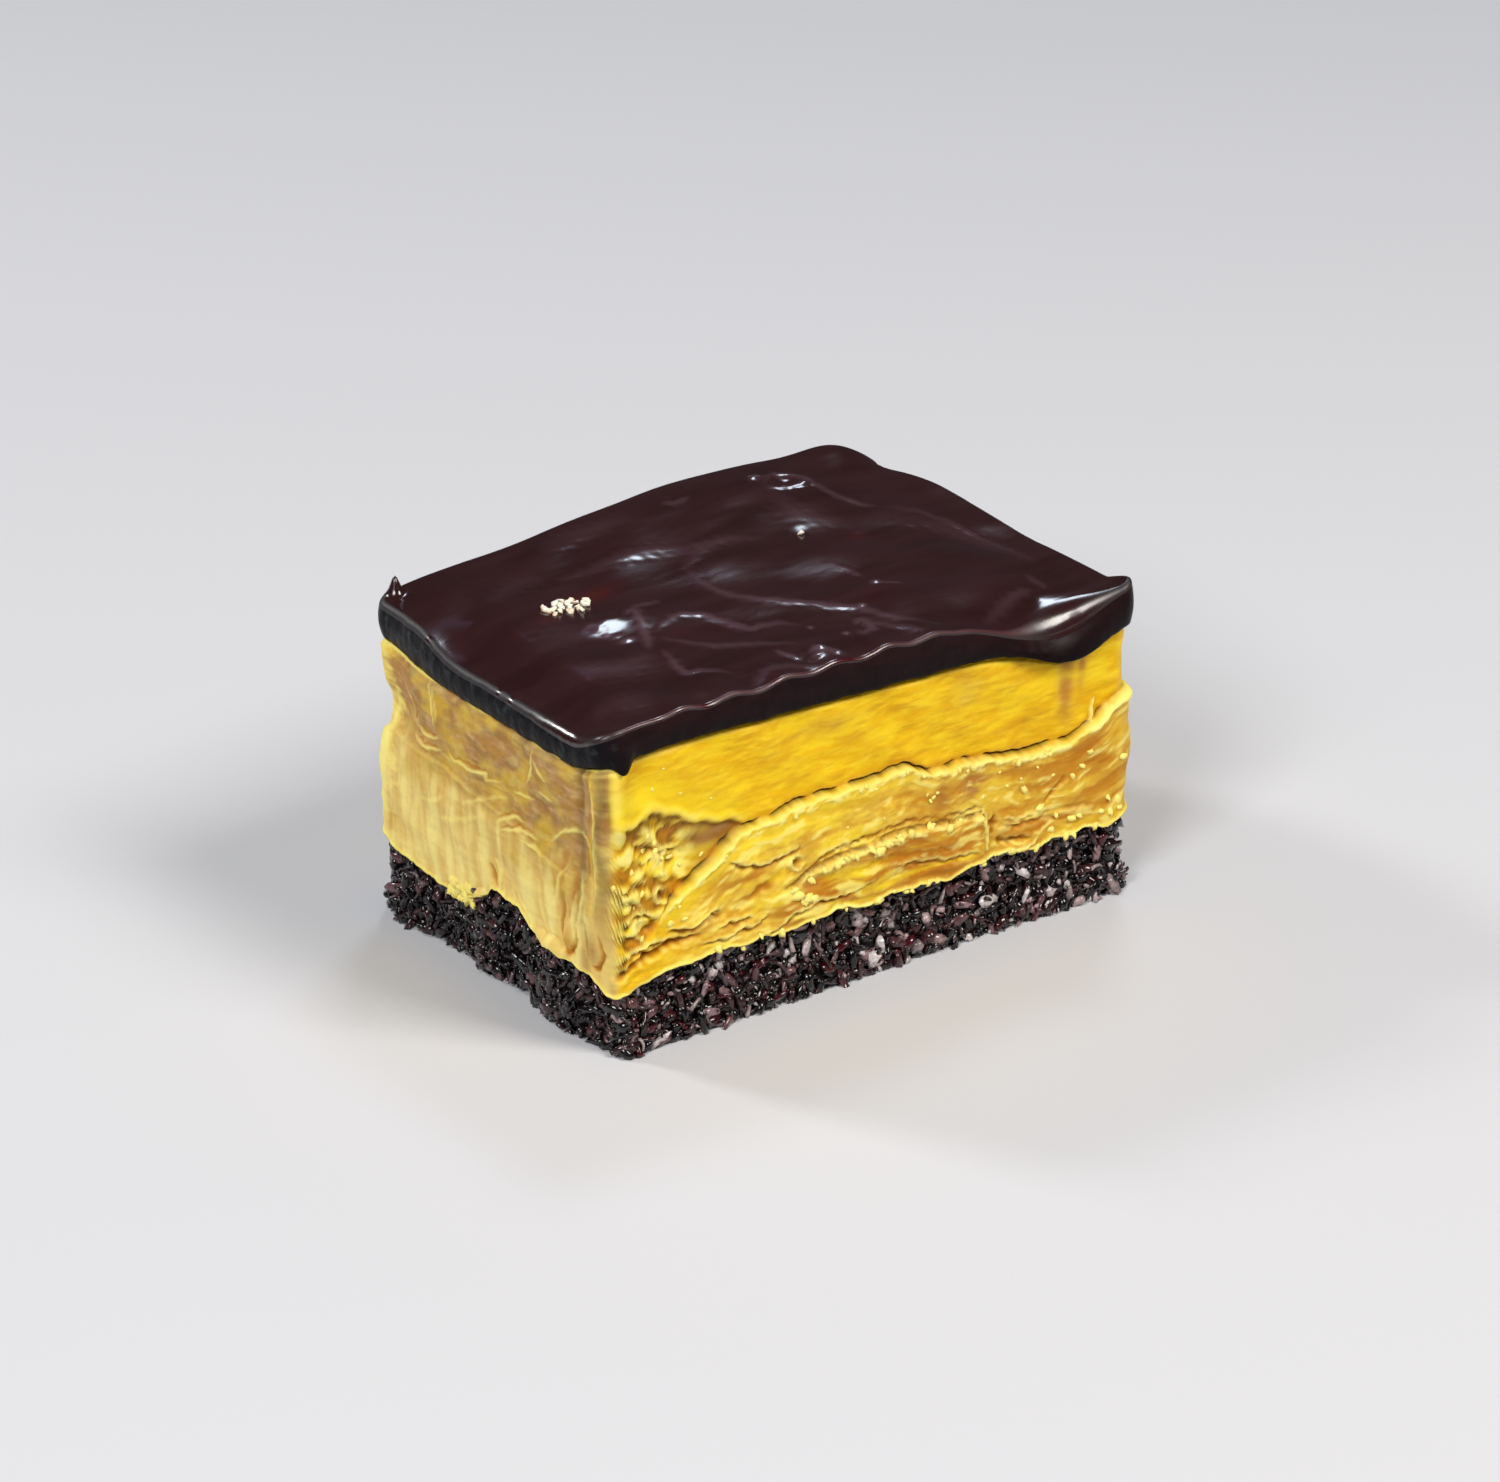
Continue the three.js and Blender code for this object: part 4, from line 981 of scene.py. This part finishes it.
def ring_block(name, cells, rows, shape):
    """A closed round block of rings, for a layer whose top is covered."""
    bm = bmesh.new()
    bmesh.ops.create_circle(bm, segments=cells, radius=1)
    bmesh.ops.translate(bm, vec=(0, 0, 1), verts=bm.verts)
    rim = bm.edges[:]
    pull_in(bm, rim)
    wall_down(bm, rim, rows)
    return finished(bm, name, shape)


def grid_block(name, cell, rows, rim_rows, shape):
    """A closed square block with a fine grid on top. Below its rim it takes the second material."""
    bm = bmesh.new()
    counts = [round(size / cell) for size in (LENGTH, WIDTH)]
    bmesh.ops.create_grid(bm, x_segments=counts[0], y_segments=counts[1], size=1)
    bmesh.ops.translate(bm, vec=(0, 0, 1), verts=bm.verts)
    wall_down(bm, [edge for edge in bm.edges if edge.is_boundary], rows)
    for face in bm.faces:
        face.material_index = int(face.calc_center_median().z < 1 - rim_rows / rows)
    return finished(bm, name, shape)


def vertex_values(mesh, kind):
    """The places ("co") or directions ("normal") of all vertices."""
    values = np.zeros(len(mesh.vertices) * 3)
    mesh.vertices.foreach_get(kind, values)
    return values.reshape(-1, 3)


def store_tone(mesh, name, values):
    tone = mesh.attributes.new(name, "FLOAT", "POINT")
    tone.data.foreach_set("value", np.asarray(values, np.float32))


def store_curve(mesh, rounds, depth):
    """Stores how far each vertex stands above or below its smoothed neighbourhood, as two tones: raised
    places are painted lighter as highlight, hollows darker as shade.
    """
    count = len(mesh.vertices)
    places, normals = vertex_values(mesh, "co"), vertex_values(mesh, "normal")
    ends = np.zeros(len(mesh.edges) * 2, int)
    mesh.edges.foreach_get("vertices", ends)
    others = ends.reshape(-1, 2)[:, ::-1].ravel()
    neighbours = np.bincount(ends, minlength=count)[:, None]
    smoothed = places
    for _ in range(rounds):
        sums = [np.bincount(ends, smoothed[others, axis], count) for axis in range(3)]
        smoothed = (np.column_stack(sums) / neighbours + smoothed) / 2
    rise = ((places - smoothed) * normals).sum(axis=1) / (depth * MM)
    store_tone(mesh, "edge", np.clip(rise, 0, 1))
    store_tone(mesh, "painted_hollow_shade", np.clip(-rise, 0, 1))


def lump_shape(name, stretch, roughness, seed, segments):
    """One uneven lump of a few dozen faces, about 1 in half size."""
    bm = bmesh.new()
    bmesh.ops.create_uvsphere(bm, u_segments=segments[0], v_segments=segments[1], radius=1)
    for vert in bm.verts:
        swell = 1 + roughness * noise.noise(vert.co * 1.2 + Vector((seed, 0, 0)))
        vert.co = Vector(a * b for a, b in zip(vert.co * swell, stretch))
    return shape_with_tone(bm, name)


def lump_shapes(name, stretches, roughness, seed, apart, segments=(8, 5)):
    """Lumps with those stretches, each uneven in its own way: their seeds lie that far apart."""
    return [
        lump_shape(f"{name}_{i}", stretch, roughness, seed + i * apart, segments)
        for i, stretch in enumerate(stretches)
    ]


def shred_shape(name, bend, seed):
    """One curved shred: a short thin cylinder, bent along its length and closed at both ends."""
    bm = bmesh.new()
    bmesh.ops.create_cone(bm, cap_ends=True, segments=6, radius1=0.75, radius2=0.5, depth=2)
    lengthwise = [edge for edge in bm.edges if abs(edge.verts[0].co.z - edge.verts[1].co.z) > 1]
    bmesh.ops.subdivide_edges(bm, edges=lengthwise, cuts=3)
    bmesh.ops.rotate(bm, matrix=Matrix.Rotation(math.pi / 2, 3, "Y"), verts=bm.verts)
    for vert in bm.verts:
        share = vert.co.x
        vert.co.y += bend * (1 - share * share) + 0.25 * noise.noise(Vector((share * 1.7, seed, 0)))
        vert.co.x *= SHRED_LENGTH
    return shape_with_tone(bm, name)


def shape_with_tone(bm, name):
    """A mesh whose copies can each have a tone of their own."""
    mesh = mesh_of(bm, name)
    mesh.attributes.new("tone", "FLOAT", "POINT")
    return mesh


def join_copies(name, shapes, places):
    """One mesh of many copies. Each place is (shape number, matrix in millimetres, tone). What would
    dip into the ground is pressed flat on it."""
    bm = bmesh.new()
    for number, matrix, tone in places:
        copy = shapes[number].copy()
        copy.transform(matrix)
        copy.attributes["tone"].data.foreach_set("value", [tone] * len(copy.vertices))
        bm.from_mesh(copy)
        bpy.data.meshes.remove(copy)
    bmesh.ops.recalc_face_normals(bm, faces=bm.faces)
    for vert in bm.verts:
        vert.co.z = max(vert.co.z, FLOOR_LIFT)
    bmesh.ops.scale(bm, vec=(MM, MM, MM), verts=bm.verts)
    mesh = mesh_of(bm, name)
    mesh.shade_smooth()
    for shape in shapes:
        bpy.data.meshes.remove(shape)
    return mesh


def laid(draw, centre, outward, size, tilt=0.5):
    """A matrix that lays a lump's thin Z axis along a direction, spun round it and tilted a little."""
    spin = draw.uniform(0, math.tau)
    lean = draw.uniform(-tilt, tilt, 2)
    lay = Vector(outward).to_track_quat("Z", "Y").to_matrix().to_4x4()
    turn = Euler((lean[0], lean[1], spin)).to_matrix().to_4x4()
    return Matrix.Translation(centre) @ lay @ turn @ Matrix.Scale(size, 4)


# Places of the small pieces
def pressed_in(draw, scatter, kinds):
    """Pieces pressed into the base's sides at jittered places, all round and from bottom to top."""
    count, rows = scatter.count, scatter.rows
    share = (np.arange(count) // rows + draw.random(count)) / (count // rows)
    height = (np.arange(count) % rows + draw.random(count)) / rows
    plan, out = plan_of(rim_square(share))
    x, y = plan.T
    half = scatter.size * draw.uniform(0.65, 1.4, count)
    z = np.clip(base_top(x, y) * height, scatter.lowest, base_top(x, y) - 0.15)
    face = facing(out)
    offset = base_side(x, y, face, z) + scatter.proud + draw.uniform(-0.35, 0.2, count) - half * 0.3
    # Crumbs on the left face take only the darker tones: painted shade on that side.
    tone = draw.random(count) * mix(1, 0.66, face["left"])
    places = []
    for i in range(count):
        centre = Vector((*(plan[i] + out[i] * offset[i]), z[i]))
        places.append((int(draw.integers(kinds)), laid(draw, centre, (*out[i], 0.15), half[i]), tone[i]))
    return places


def bead_spots(draw):
    """Places of small custard beads on the front (x, z), with their half sizes."""
    spots = [(*place, half) for half, places in FRONT_BEADS for place in places]
    for count, ledge, ends, below, half in (
        (14, FRONT_LEDGE, (-21, 25), (0.3, 0.9), 0.24),
        (12, LOWER_LEDGE, (-9, 12), (0.1, 0.7), 0.36),
    ):
        for _ in range(count):
            x = draw.uniform(*ends)
            spots.append((x, height_at(ledge, x) - draw.uniform(*below), half))
    for count, ends, heights, half in ((12, (-8, 28), (14.8, 17.8), 0.2), (14, (-30.5, -23), (11, 21), 0.3)):
        for _ in range(count):
            spots.append((draw.uniform(*ends), draw.uniform(*heights), half))
    for _ in range(22):
        x = draw.uniform(-22, 29)
        spots.append((x, lip_height(x, -WIDTH / 2)[0] - draw.uniform(-0.3, 0.2), draw.uniform(0.2, 0.45)))
    return spots


def custard_bead_places(draw):
    """Custard beads on the front, and a small clump on the left lip."""
    front = bead_spots(draw)
    clump = [(draw.uniform(3.4, 7.4), draw.uniform(7.2, 9.0), 0.42) for _ in range(26)]
    x = np.array([spot[0] for spot in front] + [-LENGTH / 2] * len(clump))
    y = np.array([-WIDTH / 2] * len(front) + [spot[0] for spot in clump])
    z = np.array([spot[1] for spot in front + clump])
    out = np.array([(0.0, -1.0)] * len(front) + [(-1.0, 0.0)] * len(clump))
    side = Custard(x, y, out, z)
    depth = above_base(side.depth, base_side(x, y, facing(out), z) + LAYER_GAP, side.lip, z)
    places = []
    for i, spot in enumerate(front + clump):
        centre = Vector((*(np.array((x[i], y[i])) + out[i] * depth[i]), z[i]))
        size = spot[2] * draw.uniform(0.7, 1.3)
        places.append((int(draw.integers(3)), laid(draw, centre, (*out[i], 0.2), size), 1.0))
    return places


def pale_chip_places(draw):
    """A small tight group of pale biscuit chips on the chocolate, and one fleck by itself."""
    spots = [(9.3, 4.9, 0.42)]
    for number in range(24):
        reach, turn = math.sqrt((number + 0.5) / 24), number * 2.4 + draw.uniform(-0.3, 0.3)
        x, y = -18.6 + 2.5 * reach * math.cos(turn), 5.2 + 1.6 * reach * math.sin(turn)
        spots.append((x, y, draw.uniform(0.22, 0.5)))
    x, y, half = np.array(spots).T
    height = chocolate_top(x, y) + chocolate_marks(x, y)[0] + 0.12
    places = []
    for i in range(len(spots)):
        matrix = laid(draw, Vector((x[i], y[i], height[i])), (0, 0, 1), half[i], tilt=0.7)
        places.append((int(draw.integers(3)), matrix, draw.random()))
    return places


# Materials. First a colour mix's sockets: its two colours, and its result
MIX_A, MIX_B, MIX_RESULT = 6, 7, 2
# The crumbs' tones in even steps: from near black to pale, the palest partly painted white glints, and the
# last two dark red
COCOA_TONES = (
    "#060304", "#070405", "#090506", "#0d0709", "#170a0d", "#2a1518", "#462428", "#6c4648", "#b09294",
    "#f4eae8", "#4c0a12", "#2c060a",
)


def colour(code):
    """Linear colour from an sRGB hex value."""
    parts = [int(code[i:i + 2], 16) / 255 for i in (1, 3, 5)]
    return (*(p / 12.92 if p <= 0.04045 else ((p + 0.055) / 1.055) ** 2.4 for p in parts), 1)


def add_node(tree, kind, inputs=None, **settings):
    """Adds a node. Each input is set to a value, or linked where it is given another node's output."""
    node = tree.nodes.new(kind)
    for name, value in settings.items():
        setattr(node, name, value)
    for socket, value in (inputs or {}).items():
        if isinstance(value, bpy.types.NodeSocket):
            tree.links.new(value, node.inputs[socket])
        else:
            node.inputs[socket].default_value = value
    return node


def new_material(name, **fixed):
    """A material with one surface shader, whose fixed values are set on its own sockets."""
    material = bpy.data.materials.new(name)
    material.use_nodes = True
    tree = material.node_tree
    shader = tree.nodes["Principled BSDF"]
    for socket, value in fixed.items():
        shader.inputs[socket.replace("_", " ")].default_value = value
    return material, tree, shader


def patchy(tree, sizes, low, high, detail=3.0):
    """Noise with patches of those sizes along X, Y and Z in millimetres, spread between low and high."""
    where = add_node(tree, "ShaderNodeTexCoord").outputs["Object"]
    scale = [1 / (size * MM) for size in sizes]
    scaled = add_node(tree, "ShaderNodeMapping", {"Vector": where, "Scale": scale})
    made = add_node(tree, "ShaderNodeTexNoise", {"Vector": scaled.outputs[0], "Scale": 1.0, "Detail": detail})
    return add_node(tree, "ShaderNodeMapRange", {
        "Value": made.outputs[0], "From Min": 0.3, "From Max": 0.7, "To Min": low, "To Max": high,
    }).outputs[0]


def tinted(tree, shade, layers):
    """A colour with others laid over it in turn. Each layer is (its colour, its share), and a share is
    a socket or the name of a stored tone."""
    for tint, share in layers:
        if isinstance(share, str):
            share = add_node(tree, "ShaderNodeAttribute", attribute_name=share).outputs["Fac"]
        tint = colour(tint) if isinstance(tint, str) else tint
        node = add_node(tree, "ShaderNodeMix", {0: share, MIX_A: shade, MIX_B: tint}, data_type="RGBA")
        shade = node.outputs[MIX_RESULT]
    return shade


def finish(tree, shader, shade, rough, grain, depth):
    """Links a colour and a roughness to the shader, and fine grain of that depth in millimetres."""
    tree.links.new(shade, shader.inputs["Base Color"])
    tree.links.new(rough, shader.inputs["Roughness"])
    bump = add_node(tree, "ShaderNodeBump", {"Height": grain, "Strength": 1.0, "Distance": depth * MM})
    tree.links.new(bump.outputs[0], shader.inputs["Normal"])


def custard_material():
    """Custard buttercream, cut with a knife: soft, slightly see-through, smooth above the tear and streaked
    below it, with raised edges and crests painted pale as highlight, and hollows, gaps and cracks painted
    deep amber and brown as shade."""
    material, tree, shader = new_material(
        "custard_buttercream",
        Subsurface_Weight=0.06, Subsurface_Radius=(1.0, 0.5, 0.1), Subsurface_Scale=0.0008, IOR=1.42,
        Specular_IOR_Level=0.22,
    )
    skin = tinted(tree, colour("#e6b404"), [
        ("#d49c06", patchy(tree, (6, 6, 1.3), -0.5, 0.8)),
        ("#f2ce1e", patchy(tree, (2.4, 2.4, 0.6), -0.4, 0.9)),
        ("#c8980c", patchy(tree, (2.6, 2.6, 0.5), -1.1, 0.5)),
    ])
    torn = tinted(tree, colour("#dfb335"), [
        ("#d09018", patchy(tree, (6, 6, 1.0), -0.3, 0.9)),
        ("#efd04e", patchy(tree, (1.4, 1.4, 0.7), -0.3, 0.9)),
    ])
    dusk = tinted(tree, colour("#a67c44"), [
        ("#85603a", patchy(tree, (2.6, 2.6, 1.6), -0.5, 0.9)),
        ("#c09c6c", patchy(tree, (3, 2.2, 0.9), -0.6, 0.8)),
    ])
    # The pale, lemon and raised-edge layers paint highlights on crests, rims, lips and raised edges; the
    # brown, amber, hollow and crack layers paint shade in hollows, gaps, grooves and cracks.
    shade = tinted(tree, skin, [
        (torn, "lower"), ("#f8de8c", "cream"), (dusk, "dusk"), ("#b8730e", "amber"), ("#f7d81e", "lemon"),
        ("#faec86", "pale"), ("#f6e276", "edge"), ("#a06c14", "painted_hollow_shade"), ("#2c1b08", "crack"),
    ])
    rough = patchy(tree, (2, 2, 2), 0.42, 0.6)
    finish(tree, shader, shade, rough, patchy(tree, (0.8, 0.8, 0.5), 0, 1, 4.0), 0.03)
    return material


def chocolate_material():
    """Dark chocolate poured and set: glossy brown with faint smears painted paler as sheen, and a satin rim,
    glossy only where it glints, with a thin red-brown line painted along the front rim as a reddish
    highlight."""
    material, tree, shader = new_material("set_dark_chocolate", IOR=1.45, Specular_IOR_Level=0.9)
    # The sheen tone paints paler mauve sheen along the smears and on the glinting patch; the rim tone paints
    # a reddish highlight.
    shade = tinted(tree, colour("#260f0e"), [
        ("#301616", patchy(tree, (9, 3, 6), 0, 1)), ("#541a12", "stain"), ("#604850", "painted_sheen"),
        ("#170b0d", "dull"), ("#42090f", "rim"),
    ])
    gloss = patchy(tree, (8, 3, 6), 0.12, 0.22)
    dull = add_node(tree, "ShaderNodeAttribute", attribute_name="dull").outputs["Fac"]
    rough = add_node(tree, "ShaderNodeMix", {0: dull, 2: gloss, 3: 0.55}, data_type="FLOAT").outputs[0]
    finish(tree, shader, shade, rough, patchy(tree, (1.8, 0.8, 1.8), 0, 1, 2.0), 0.006)
    return material


def cut_chocolate_material():
    """The same chocolate where the knife cut it: satin, nearly black below, with cool blue-grey mottles
    painted at the left as sheen.
    """
    material, tree, shader = new_material("cut_dark_chocolate", IOR=1.4, Specular_IOR_Level=0.12)
    painted_cool_sheen = tinted(tree, colour("#0c0a0e"), [("#2e3536", patchy(tree, (1.5, 1.1, 1.1), -1.6, 0.8))])
    shade = tinted(tree, colour("#261214"), [
        ("#190c0e", patchy(tree, (3, 3, 1.2), -0.2, 1)), ("#0c0608", "deep"), (painted_cool_sheen, "painted_cool_sheen"),
    ])
    grain = patchy(tree, (1.2, 1.2, 0.8), 0, 1)
    finish(tree, shader, shade, patchy(tree, (1.4, 1.4, 1.4), 0.35, 0.5), grain, 0.02)
    return material


def crumb_material(name, tones, roughness):
    """Cocoa crumbs bound with butter: each crumb has a tone of its own from the list, under a thin
    moist film."""
    material, tree, shader = new_material(
        name, IOR=1.5, Specular_IOR_Level=0.1, Coat_Weight=1.0, Coat_Roughness=0.05
    )
    tone = add_node(tree, "ShaderNodeAttribute", attribute_name="tone").outputs["Fac"]
    ramp = add_node(tree, "ShaderNodeValToRGB", {0: tone})
    elements = ramp.color_ramp.elements
    while len(elements) < len(tones):
        elements.new(0.5)
    for number, code in enumerate(tones):
        elements[number].position = number / (len(tones) - 1)
        elements[number].color = colour(code)
    shade = tinted(tree, ramp.outputs[0], [("#120a0c", patchy(tree, (0.5, 0.5, 0.5), 0, 0.6))])
    rough = patchy(tree, (1, 1, 1), roughness, roughness + 0.2)
    finish(tree, shader, shade, rough, patchy(tree, (0.5, 0.5, 0.5), 0, 1), 0.015)
    return material


def chip_material():
    """Dry pale biscuit chips: cream with a toasted edge."""
    material, tree, shader = new_material("pale_biscuit_chip")
    shade = tinted(tree, colour("#fff6e0"), [("#d0a070", patchy(tree, (0.8, 0.8, 0.8), -0.8, 0.8))])
    finish(tree, shader, shade, patchy(tree, (1, 1, 1), 0.5, 0.65), patchy(tree, (0.3, 0.3, 0.3), 0, 1), 0.05)
    return material


def plain_floor():
    """A pale matt board under the bar."""
    bm = bmesh.new()
    bmesh.ops.create_grid(bm, x_segments=1, y_segments=1, size=2)
    mesh = mesh_of(bm, "floor")
    material, _, _ = new_material("pale_matt_board", Base_Color=colour("#cfcfd2"), Roughness=0.9)
    mesh.materials.append(material)
    floor = add_object("floor", mesh)


# Lights and camera
def aim(thing, azimuth, elevation, distance, target):
    """Puts a light or camera at an angle round the target, looking at it. Azimuth 0 is in front."""
    turn, rise = math.radians(azimuth), math.radians(elevation)
    back = Vector((math.sin(turn) * math.cos(rise), -math.cos(turn) * math.cos(rise), math.sin(rise)))
    thing.location = Vector(target) + back * distance
    thing.rotation_euler = (-back).to_track_quat("-Z", "Y").to_euler()


def soft_light(name, azimuth, elevation, distance, size, watts, tint="#ffffff"):
    lamp = bpy.data.lights.new(name, "AREA")
    lamp.shape = "RECTANGLE"
    lamp.size, lamp.size_y = size
    lamp.energy = watts
    lamp.color = colour(tint)[:3]
    aim(add_object(name, lamp), azimuth, elevation, distance, (0, 0, 0.02))


def add_lights():
    soft_light("key", 26, 46, 0.8, (0.26, 0.32), 4.8, "#fffaf2")
    soft_light("fill", -62, 38, 0.9, (0.3, 0.3), 4.9)
    soft_light("sheet", 145, 50, 0.7, (0.3, 0.1), 0.03, "#d8ccff")
    soft_light("glint", 132, 55, 0.7, (0.14, 0.14), 0.9, "#e4f2ff")
    soft_light("left_rim", -150, 35, 0.7, (0.1, 0.12), 1.6)
    world = bpy.data.worlds.new("soft_room")
    world.use_nodes = True
    world.node_tree.nodes["Background"].inputs[0].default_value = colour("#3d3b41")
    world.node_tree.nodes["Background"].inputs[1].default_value = 1.0
    bpy.context.scene.world = world


# The camera's angle, distance and lens, solved from the block's edges in the photograph
CAMERA_AZIMUTH = -36.9
CAMERA_ELEVATION = 25.7
CAMERA_DISTANCE = 0.552
CAMERA_LENS = 135.3
CAMERA_TARGET = (-0.0006, 0, 0.0172)


def add_camera():
    camera = add_object("camera", bpy.data.cameras.new("camera"))
    camera.data.lens = CAMERA_LENS
    camera.data.clip_start = 0.01
    aim(camera, CAMERA_AZIMUTH, CAMERA_ELEVATION, CAMERA_DISTANCE, CAMERA_TARGET)
    bpy.context.scene.camera = camera


# The pieces of each layer
def build_custard(draw):
    material = custard_material()
    custard = ring_block("custard", CUSTARD_CELLS, CUSTARD_ROWS, custard_shape)
    # The two curve tones paint raised edges pale as highlight and hollows dark as shade.
    store_curve(custard, rounds=5, depth=0.22)
    new_piece("custard", custard, "custard_filling", material)
    shapes = lump_shapes("bead", [(1.3, 0.85, 0.5)] * 3, roughness=0.7, seed=40, apart=3.1)
    beads = join_copies("custard_beads", shapes, custard_bead_places(draw))
    store_tone(beads, "pale", np.full(len(beads.vertices), 0.85))
    new_piece("custard_beads", beads, "custard_filling", material)


def build_chocolate(draw):
    chocolate = grid_block("chocolate", CHOCOLATE_CELL, CHOCOLATE_ROWS, RIM_ROWS, chocolate_shape)
    new_piece("chocolate", chocolate, "chocolate_top", chocolate_material(), cut_chocolate_material())
    shapes = lump_shapes("chip", [(1.2, 0.8, 0.5)] * 3, roughness=0.9, seed=70, apart=4.3)
    chips = join_copies("pale_chips", shapes, pale_chip_places(draw))
    new_piece("pale_chips", chips, "chocolate_top", chip_material())


def build_base(draw):
    core = ring_block("base_core", BASE_CELLS, BASE_ROWS, base_shape)
    new_piece("base_core", core, "crumb_base", crumb_material("pressed_crumb", ("#120a0c", "#241618"), 0.5))
    stretches = [(1.5, 0.6, 0.5), (1.1, 0.8, 0.6), (1.8, 0.5, 0.45), (1.0, 0.75, 0.7), (1.6, 0.75, 0.35)]
    shapes = lump_shapes("crumb", stretches, roughness=0.75, seed=0, apart=9.7)
    # The small crumbs lie lower, between the large ones, and take the darker half of the tones: painted shade
    # in the gaps.
    small = [(number, matrix, 0.5 * tone) for number, matrix, tone in pressed_in(draw, SMALL_CRUMBS, 5)]
    large = pressed_in(draw, LARGE_CRUMBS, 5)
    crumbs = join_copies("biscuit_crumbs", shapes, small + large)
    cocoa = crumb_material("cocoa_crumb", COCOA_TONES, 0.2)
    new_piece("biscuit_crumbs", crumbs, "crumb_base", cocoa)
    shapes = lump_shapes("fine", stretches, roughness=0.8, seed=60, apart=7.3, segments=(6, 4))
    fine = join_copies("fine_crumbs", shapes, pressed_in(draw, FINE_CRUMBS, 5))
    new_piece("fine_crumbs", fine, "crumb_base", cocoa)
    shapes = [shred_shape(f"shred_{i}", bend, i * 5.3) for i, bend in enumerate((0.2, 0.5, 0.9))]
    shreds = join_copies("coconut_shreds", shapes, pressed_in(draw, SHREDS, 3))
    tones = ("#2a1a1c", "#5c4448", "#c4b0ae")
    new_piece("coconut_shreds", shreds, "crumb_base", crumb_material("cocoa_stained_coconut", tones, 0.25))


numbers = np.random.default_rng(SEED)
build_custard(numbers)
build_chocolate(numbers)
build_base(numbers)
plain_floor()
add_lights()
add_camera()
bpy.context.scene.view_settings.view_transform = "Standard"
